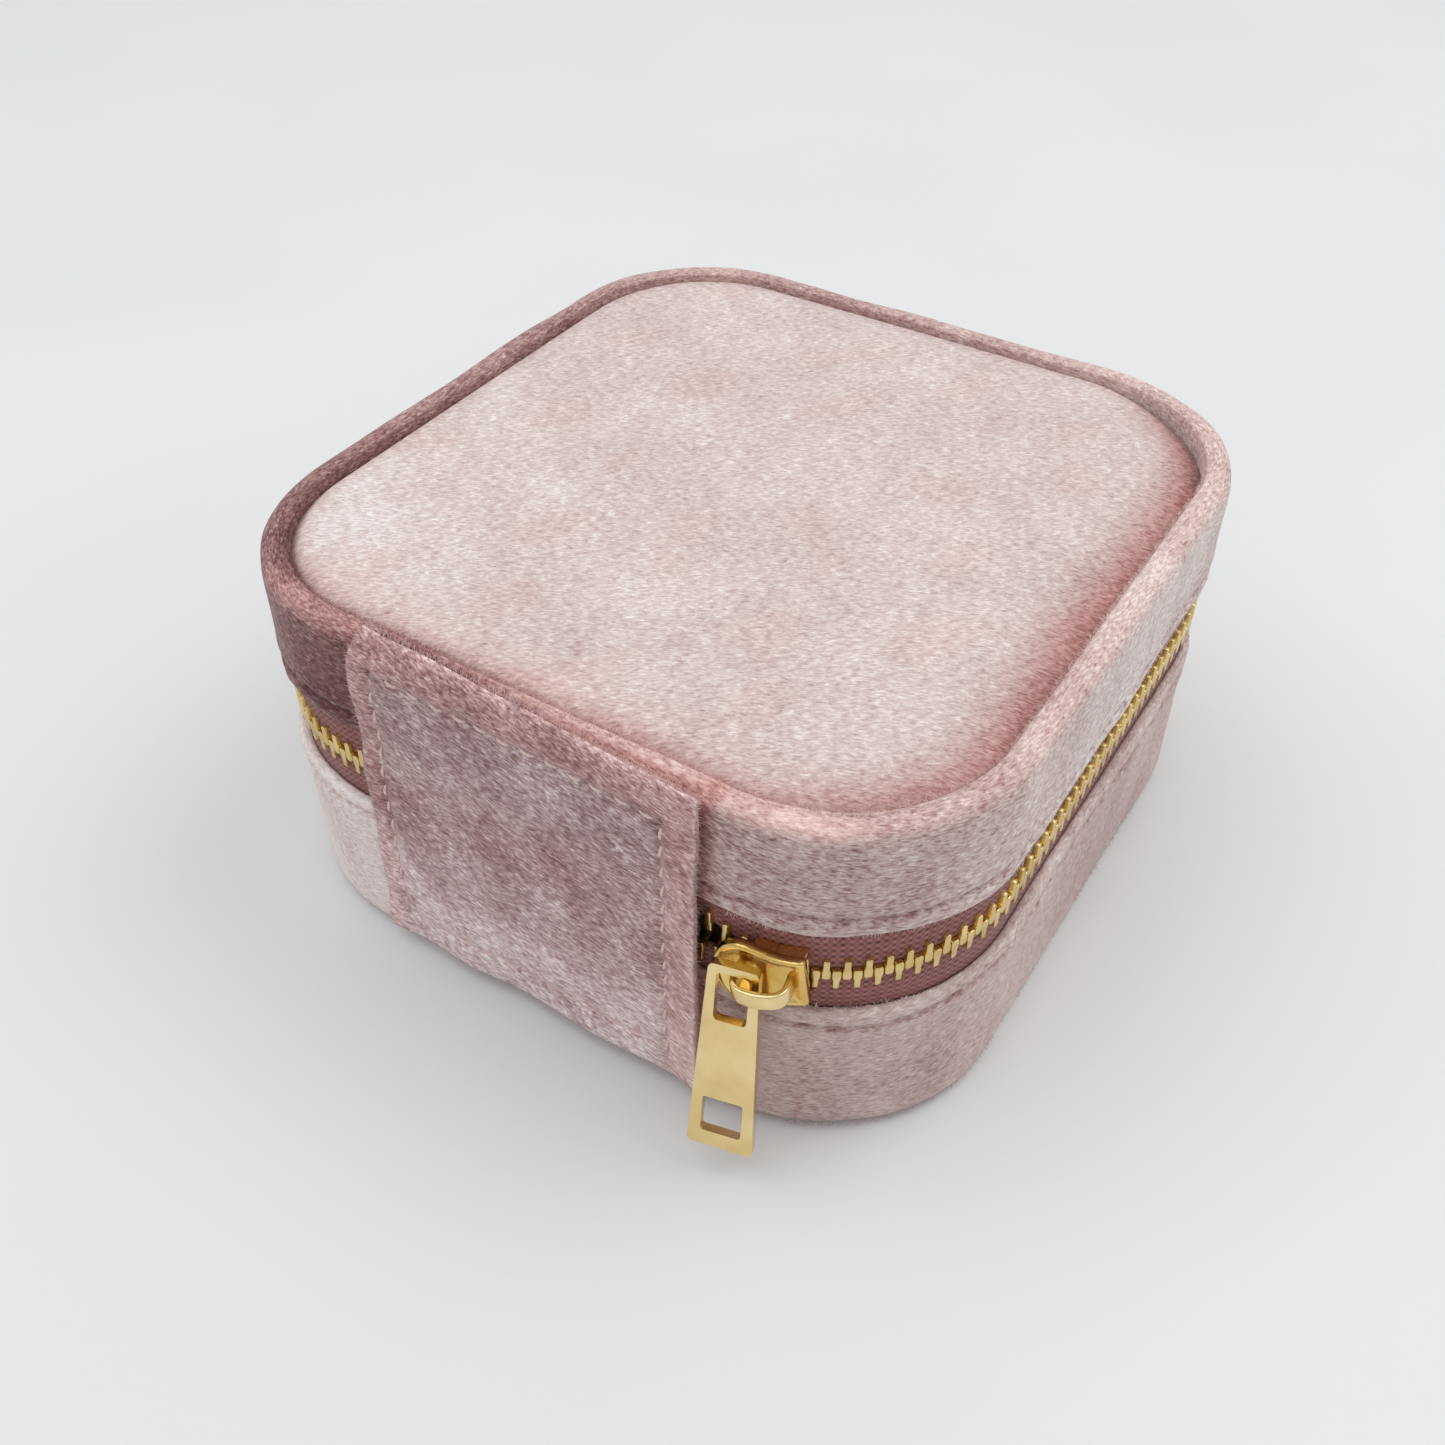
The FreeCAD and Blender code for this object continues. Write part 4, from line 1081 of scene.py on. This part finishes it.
def tooth_row(name, up, first, body, node):
    """One row of teeth along the chain, each a little uneven. up is 1 where the heads point up."""
    template, faces = tooth_mesh()
    random = np.random.default_rng(3 if up > 0 else 4)
    parts = []
    for s in np.arange(first - ZIP_START, TRACK_LENGTH - ZIP_END, PITCH):
        point, angle = track(s)
        sway = random.normal(0, 0.02)
        local = template * [1, 1, up]
        turn = angle - math.pi / 2 + sway
        x = local[:, 0] * math.cos(turn) - local[:, 1] * math.sin(turn)
        y = local[:, 0] * math.sin(turn) + local[:, 1] * math.cos(turn)
        z = local[:, 2] + CHAIN_Z - up * spread(s) - dip(s) + random.normal(0, 0.02)
        parts.append((np.stack([x + point[0], y + point[1], z], 1), faces))
    attach(piece(name, *joined(parts), BRASS), body, "brass", node)


TAPE_COLUMNS, TAPE_ROWS = 520, 26
TAPE_T, CORD_T = 0.22, 0.18          # half the tape's thickness, and how much thicker its cord is


def tape(name, up, body, node):
    """Woven tape with a corded edge under the teeth; it bows out a little between hem and chain."""
    hem = BASE_HEM if up > 0 else LID_HEM
    places = np.linspace(TAPE_END, TRACK_LENGTH - TAPE_END, TAPE_COLUMNS)
    rows = np.linspace(0, 1, TAPE_ROWS)
    bow = 0.22 * np.sin(math.pi * np.clip((rows - 0.35) / 0.65, 0, 1))
    thick = TAPE_T + CORD_T * bell(rows, 0.92, 0.035)
    front = np.zeros((len(places), len(rows), 3))
    back = np.zeros_like(front)
    for i, s in enumerate(places):
        point, angle = track(s)
        out = np.array([math.cos(angle), math.sin(angle)])
        edge_z = CHAIN_Z - up * (0.16 + spread(s)) - dip(s)
        far_z = hem - up * TUCK
        front[i, :, :2] = point + out * (bow + thick)[:, None]
        back[i, :, :2] = point + out * (bow - thick)[:, None]
        front[i, :, 2] = back[i, :, 2] = far_z + (edge_z - far_z) * rows
    obj = sheet_piece(name, front, back, TAPE)
    attach(obj, body, "tape", node)


tooth_row("zip_row_base", 1, 0.0, "base", "zip_teeth_base")
tooth_row("zip_row_lid", -1, PITCH / 2, "lid", "zip_teeth_lid")
tape("zip_cloth_base", 1, "base", "zip_tape_base")
tape("zip_cloth_lid", -1, "lid", "zip_tape_lid")


def hem_stitches(name, z, body, node):
    """Seam thread sunk in the pile next to a hem."""
    stitches = []
    for s in np.arange(STITCH_STEP / 2, TRACK_LENGTH, STITCH_STEP):
        point, angle = track(s, 0.50)
        on_back = point[1] > 0 and abs(angle % math.pi - math.pi / 2) < 0.01
        if on_back and patch_low[0] - 1 < point[0] < patch_high[0] + 1:
            continue
        stitches.append(((*point, z), (-math.sin(angle), math.cos(angle), 0), (0, 0, 1)))
    obj = capsules(name, stitches, 2.4, 0.3, SEAM_THREAD)
    attach(obj, body, "thread", node)


hem_stitches("hem_thread_base", BASE_HEM - HEM_SEAM, "base", "base_hem_stitching")
hem_stitches("hem_thread_lid", LID_HEM + HEM_SEAM, "lid", "lid_hem_stitching")

# ---- slider ----
FACE_R = CORNER_R + 0.35             # inner face of the outer plate
PLATE_T = 1.0                        # how thick the outer plate is
BACK_R = FACE_R - 3.15               # outer face of the inner plate
DISH = 0.45                          # how deep the outer plate's front is dished
TAIL_END = 5.0                       # u at the tail's end
DROOP, SAG = math.radians(7.0), 0.5  # the nose hangs down, turned about the tail's end
NOSE_FOOT, TAIL_FOOT = -2.4, 3.4     # u of the bridge's two feet


def slider_place(local):
    """Maps slider points (u towards the tail, v up, r from the corner's axis) into space."""
    u, v, r = local[:, 0] - TAIL_END, local[:, 1], local[:, 2]
    along = TAIL_END + u * math.cos(DROOP) - v * math.sin(DROOP)
    up = u * math.sin(DROOP) + v * math.cos(DROOP) - SAG
    out = np.sqrt(r ** 2 - along ** 2)
    angle = math.radians(SLIDER_AT)
    corner_x, corner_y = CORNERS[0]
    return np.stack([corner_x + math.cos(angle) * out - math.sin(angle) * along,
                     corner_y + math.sin(angle) * out + math.cos(angle) * along, CHAIN_Z + up], 1)


# The slider's outline as (u, v): the half above the chain, from the tail to the nose, then all of it.
HALF_SHIELD = np.array([(5.0, 3.2), (5.0, 3.4), (4.8, 3.42), (3.2, 3.5), (1.6, 3.8), (0.1, 4.45),
                        (-1.2, 4.85), (-2.4, 4.8), (-3.7, 4.1), (-4.8, 2.6), (-5.5, 0.9)])
SHIELD = np.vstack([HALF_SHIELD, HALF_SHIELD[::-1] * [1, -1]])
DISH_RINGS = [(0.84, 0.25), (0.76, 0.7), (0.66, 0.92), (0.5, 1.0), (0.3, 1.0), (0.12, 1.0)]   # scale, depth


def dished_plate(front_r, back_r, dish):
    """A plate with the slider's outline, rounded edges and a dished front. Points are (u, v, r)."""
    loop = even_points(*eased_loop(SHIELD), 96)
    centre = np.array([-0.3, 0.0])
    front = np.sign(front_r - back_r)
    rings = [(1.0, back_r), (1.0, back_r + (front_r - back_r) * 0.35), (1.0, front_r - 0.28 * front),
             (0.985, front_r - 0.10 * front), (0.95, front_r), (0.90, front_r + 0.02)]
    rings += [(scale, front_r - dish * depth) for scale, depth in DISH_RINGS]
    points = [np.insert(centre + (loop - centre) * scale, 2, r, axis=1) for scale, r in rings]
    return np.concatenate(points), tube_faces(len(rings), len(loop))


def bar(u0, u1, v0, v1, r0, r1, v0_end, v1_end):
    """A straight bar with eased corners, as slider points; its sides v0 and v1 run to v0_end and v1_end."""
    rings, section = 11, 12
    across, out = eased_ring(section, 0.35)
    t = np.linspace(0, 1, rings)[:, None]
    low, high = v0 + (v0_end - v0) * t, v1 + (v1_end - v1) * t
    v = (low + high) / 2 + (high - low) / 2 * across
    r = (r0 + r1) / 2 + (r1 - r0) / 2 * out
    points = np.stack(np.broadcast_arrays(u0 + (u1 - u0) * t, v, r), 2)
    return points.reshape(-1, 3), tube_faces(rings, section)


def slider_body():
    """Two dished plates, the sides of the channel between them, and the post at the nose."""
    parts = [dished_plate(FACE_R + PLATE_T + 0.05, FACE_R, DISH), dished_plate(BACK_R - 0.9, BACK_R, 0.2)]
    for side in (1, -1):
        for r0, r1 in ((CORNER_R - 1.15, FACE_R + 0.2), (BACK_R - 0.2, CORNER_R - 1.9)):
            parts.append(bar(4.9, 1.8, side * 2.9, side * 3.35, r0, r1, side * 3.28, side * 3.7))
            parts.append(bar(1.8, -0.6, side * 3.28, side * 3.7, r0, r1, side * 3.75, side * 4.2))
    parts.append(bar(-4.0, -5.0, 1.49, 1.73, BACK_R - 0.1, FACE_R + 0.1, 1.33, 2.13))
    points, faces = joined(parts)
    obj = piece("slider_casting", slider_place(points), faces, CAST_GOLD)
    attach(obj, "slider", "plated_metal", "slider_body")


BRIDGE_FOOT = FACE_R + PLATE_T - DISH
BRIDGE_CROWN = FACE_R + PLATE_T + 2.1 + 0.4


def arc(centre, radius, start, end):
    """Nine points of an arc, from start to end degrees."""
    a = np.radians(np.linspace(start, end, 9))
    return np.stack([centre[0] + radius * np.cos(a), centre[1] + radius * np.sin(a)], 1)


def slider_bridge():
    """Band that leaves the nose, arches along the chain and lands near the tail."""
    corner_r = 1.5
    left, right, rise = NOSE_FOOT + corner_r, TAIL_FOOT - corner_r, BRIDGE_CROWN - corner_r
    t = np.linspace(0, 1, 8)[1:-1]
    crown = np.stack([left + (right - left) * t, BRIDGE_CROWN + 0.15 * np.sin(math.pi * t)], 1)
    nose = [(NOSE_FOOT, BRIDGE_FOOT), (NOSE_FOOT, rise)]
    path = np.concatenate([nose, arc((left, rise), corner_r, 180, 90)[1:], crown,
                           arc((right, rise), corner_r, 90, 0), [(TAIL_FOOT, BRIDGE_FOOT)]])
    ahead = np.gradient(path, axis=0)
    ahead /= np.linalg.norm(ahead, axis=1)[:, None]
    out = np.stack([-ahead[:, 1], ahead[:, 0]], 1)
    section = 16
    across, thick = eased_ring(section, 0.45)
    band = path[:, None] + out[:, None] * (0.42 * thick)[None, :, None]
    points = np.stack(np.broadcast_arrays(band[:, :, 0], 1.1 * across, band[:, :, 1]), 2).reshape(-1, 3)
    obj = piece("slider_arch", slider_place(points), tube_faces(len(path), section), GOLD)
    attach(obj, "slider", "plated_metal", "slider_bridge")


slider_body()
slider_bridge()

# ---- pull tab ----
TAB_T = 1.2                          # how thick the pull tab is
TAB_UP, TAB_DOWN = 2.5, 24.3         # how far the tab reaches above and below its axis


def pull_tab():
    """Flat tapered tab with a hole for the bridge and a square eye, hung on the swing joint's axis."""
    swing = joints["pull_tab_swing"]
    out = -np.array(swing["axis"])
    side = np.cross((0, 0, 1), out)
    side /= np.linalg.norm(side)
    down = np.cross(out, side)
    down *= -np.sign(down[2])
    pivot = np.array(swing["pos_m"]) / MM
    edge = rounded_loop(2.8, -TAB_UP, TAB_DOWN, 0.8, 6, 3.9)
    hole = rounded_loop(1.85, -1.5, 5.2, 0.75, 5)
    eye = rounded_loop(2.35, 16.8, 22.1, 0.4, 4)
    obj = prism("pull_tab_plate", [edge, hole, eye], TAB_T, GOLD)
    bevelled(obj, 0.28, 4)
    rotation = np.stack([side, down, out], 1)
    matrix = Matrix.Translation((pivot - out * TAB_T / 2) * MM) @ Matrix(rotation.tolist()).to_4x4()
    obj.data.transform(matrix)
    settle(obj.data)
    attach(obj, "pull_tab", "plated_metal", "pull_tab")


pull_tab()

# ---- inside ----


LINING_T = 0.8                       # how thick the wall linings are


def lining_nap(points, place=None):
    """Nap of the lining: soft, without direction. place is there because sweep gives it."""
    return np.column_stack([0.52 + waves(points, 17, 131) * 0.06, np.full(len(points), 0.15)])


def wall_lining(name, node, body):
    """Lining glued round the inside of a wall, as high as its CAD node."""
    low, high = cad_box(node)
    inset = WIDTH / 2 - high[0]
    inner = inset + LINING_T
    section = [(inset, low[2]), (inset, high[2]), (inner, high[2]), (inner, low[2])]
    outline = Outline(1.4)
    obj = sweep(name, outline, section, LINING, None, lining_nap, 0.8)
    attach(obj, body, "lining", node)


def corner_gap(points, inset, gap=0.25):
    """Pulls points inside the rounded outline drawn in by inset, and by the gap."""
    over = past_flats(points)
    reach = np.linalg.norm(over, axis=1)
    limit = CORNER_R - inset - gap
    scale = np.where(reach > limit, limit / np.maximum(reach, 1e-6), 1)
    points = points.copy()
    points[:, :2] = np.sign(points[:, :2]) * (np.abs(points[:, :2]) + over * (scale - 1)[:, None])
    return points


def soft_bar(name, node, axis, dome, ease, seed):
    """A velvet-covered bar with a domed top and eased ends that fills a node's box."""
    low, high = cad_box(node)
    middle, half = (low + high) / 2, (high - low) / 2
    across = 1 - axis
    count, ring = round(2 * half[axis]), 44
    upper = np.arange(ring) < ring / 2
    side, height = eased_ring(ring, np.where(upper, dome, 0.25))
    crown = half[across] if dome > 0.6 else 1.2
    top = half[2] - crown
    verts = []
    for t in np.linspace(-1, 1, count + 1):
        over = max(0.0, abs(t) * half[axis] - (half[axis] - ease)) / ease
        shrink = ease * (1 - math.sqrt(max(0.0, 1 - over ** 2))) * 0.75
        row = np.zeros((ring, 3))
        row[:, axis], row[:, across] = t * half[axis], side * (half[across] - shrink)
        lower_z = (1 + height) * (top + half[2]) - half[2]
        row[:, 2] = np.where(upper, top + height * (crown - shrink), lower_z)
        verts.append(row)
    points = np.concatenate(verts) + middle
    offset = points[:, across] - middle[across]
    points[:, across] -= np.sign(offset) * np.clip(0.12 - waves(points, 11, seed) * 0.10, 0, 0.5)
    points = corner_gap(points, WIDTH / 2 + cad_box("base_lining_wall")[0][0] + LINING_T)
    uvs = np.concatenate([grid_uvs(np.arange(count + 1), np.arange(ring + 1) * 0.7), np.zeros((2 * ring, 2))])
    obj = piece(name, points, tube_faces(count + 1, ring), LINING, uvs, lining_nap(points))
    attach(obj, "base", "lining", node)
    return obj


def floor_cushion():
    low, high = cad_box("base_floor_pad")

    def top(flat, edge):
        return high[2] - 0.7 * (1 - smooth(0, 2, edge)) + waves(flat, 14, 141) * 0.06
    pad = closed_panel("base_floor_cushion", WIDTH / 2 - high[0] + 0.05, 2.4, top, level_at(low[2] + 0.02),
                       LINING, lining_nap)
    attach(pad, "base", "lining", "base_floor_pad")


def inner_panel():
    low, high = cad_box("lid_lining_panel")
    inset = WIDTH / 2 - high[0] + 0.05
    panel = closed_panel("lid_inner_panel", inset, 2.4, level_at(high[2] - 0.02), level_at(low[2] + 0.03),
                         LINING, lining_nap)
    attach(panel, "lid", "lining", "lid_lining_panel")


def inside():
    wall_lining("base_wall_lining", "base_lining_wall", "base")
    wall_lining("lid_wall_lining", "lid_lining_wall", "lid")
    floor_cushion()
    inner_panel()
    for k in range(1, 6):
        roll = soft_bar("ring_cushion_%d" % k, "ring_roll_%d" % k, 0, 1.0, 2.2, 150 + k)
    soft_bar("divider_across", "divider_long", 1, 0.45, 1.0, 161)
    soft_bar("divider_by_rolls", "divider_rolls", 0, 0.45, 1.0, 162)
    soft_bar("divider_by_trays", "divider_trays", 0, 0.45, 1.0, 163)


def hinge_strip():
    """Lining that covers the gap behind the patch."""
    low, high = cad_box("hinge_lining")
    columns, rows = 60, 34
    xs, zs = np.linspace(low[0], high[0], columns), np.linspace(low[2], high[2], rows)
    x, z = np.meshgrid(xs, zs, indexing="ij")
    wave = waves(np.stack([x.ravel(), z.ravel()], 1), 12, 171).reshape(x.shape) * 0.05
    front = np.stack([x, np.full_like(x, low[1] + 0.1) + wave, z], 2)
    back = np.stack([x, np.full_like(x, high[1] - 0.05) + wave, z], 2)
    obj = sheet_piece("hinge_inner_strip", front, back, LINING, lining_nap)
    attach_hinged(obj, "lining", "hinge_lining")


inside()
hinge_strip()
CAD_FINISH = {BOARD: ("base_wall_board", "base_bottom_board", "lid_wall_board", "lid_top_board"),
              BRASS: ("zip_top_stop_base", "zip_top_stop_lid", "zip_bottom_stop"), MIRROR: ("lid_mirror",)}
for material, nodes in CAD_FINISH.items():
    for node in nodes:
        frame["nodes"][node].data.materials.clear()
        frame["nodes"][node].data.materials.append(material)

# ---- floor and light ----
FLOOR_HALF = 6000                    # half the floor's side


def floor():
    n = Nodes("floor")
    grain = n.noise(n.coords("Object"), 9, 2.0)
    n.paint(grain, [(0.3, (0.745, 0.76, 0.76)), (0.7, (0.775, 0.785, 0.785))])
    n.set(roughness=0.6, specular_ior_level=0.3)
    corners = np.array([(-1, -1, 0), (1, -1, 0), (1, 1, 0), (-1, 1, 0)]) * FLOOR_HALF
    obj = piece("floor", corners, [[0, 1, 2, 3]], n.material, outward=False)


def area_light(name, place, size, power, colour=(1, 1, 1)):
    data = bpy.data.lights.new(name, "AREA")
    data.shape = "DISK"
    data.size = size
    data.energy = power
    data.color = colour
    obj = add_object(name, data)
    obj.location = place
    obj.rotation_mode = "QUATERNION"
    obj.rotation_quaternion = Vector(place).to_track_quat("Z", "Y")


HORIZON, OVERHEAD = (0.60, 0.61, 0.62), (0.98, 0.99, 1.0)
SKY_STRENGTH = 0.76


def light():
    """A pale sky, a little darker towards the horizon, with two large soft lamps."""
    world = bpy.data.worlds.new("world")
    world.use_nodes = True
    tree = world.node_tree
    back = tree.nodes["Background"]
    height = tree.nodes.new("ShaderNodeSeparateXYZ")
    tree.links.new(tree.nodes.new("ShaderNodeTexCoord").outputs["Generated"], height.inputs[0])
    ramp = tree.nodes.new("ShaderNodeValToRGB")
    for element, place, colour in zip(ramp.color_ramp.elements, (0.0, 0.7), (HORIZON, OVERHEAD)):
        element.position = place
        element.color = (*colour, 1)
    tree.links.new(height.outputs[2], ramp.inputs[0])
    tree.links.new(ramp.outputs[0], back.inputs["Color"])
    back.inputs["Strength"].default_value = SKY_STRENGTH
    bpy.context.scene.world = world
    area_light("key", (-0.36, -0.32, 0.80), 0.6, 2.3, (1.0, 0.985, 0.96))
    area_light("fill", (0.34, 0.22, 0.88), 0.9, 2.1, (0.97, 0.98, 1.0))
    bpy.context.scene.view_settings.view_transform = "Standard"


floor()
light()

# ---- camera ----
CAMERA_TURN, CAMERA_RISE = 212.596, 42.285   # degrees round and above the box
CAMERA_FAR = 201.96                  # from the camera to its aim
BOX_MIDDLE = 25.0
CAMERA_AIM = (-5.0, -11.4)           # right and up of the point at the height BOX_MIDDLE
CAMERA_LENS = 36.92


def make_camera():
    turn, rise = math.radians(CAMERA_TURN), math.radians(CAMERA_RISE)
    right = Vector((math.cos(turn), math.sin(turn), 0))
    back = Vector((math.sin(turn) * math.cos(rise), -math.cos(turn) * math.cos(rise), math.sin(rise)))
    up = back.cross(right)
    aim = Vector((0, 0, BOX_MIDDLE)) + right * CAMERA_AIM[0] + up * CAMERA_AIM[1]
    data = bpy.data.cameras.new("camera")
    data.lens = CAMERA_LENS
    data.sensor_width = 36.0
    data.clip_start, data.clip_end = 0.005, 20.0
    camera = add_object("camera", data)
    camera.matrix_world = Matrix.Translation((aim + back * CAMERA_FAR) * MM) @ Matrix(
        (right, up, back)).transposed().to_4x4()
    bpy.context.scene.camera = camera


make_camera()
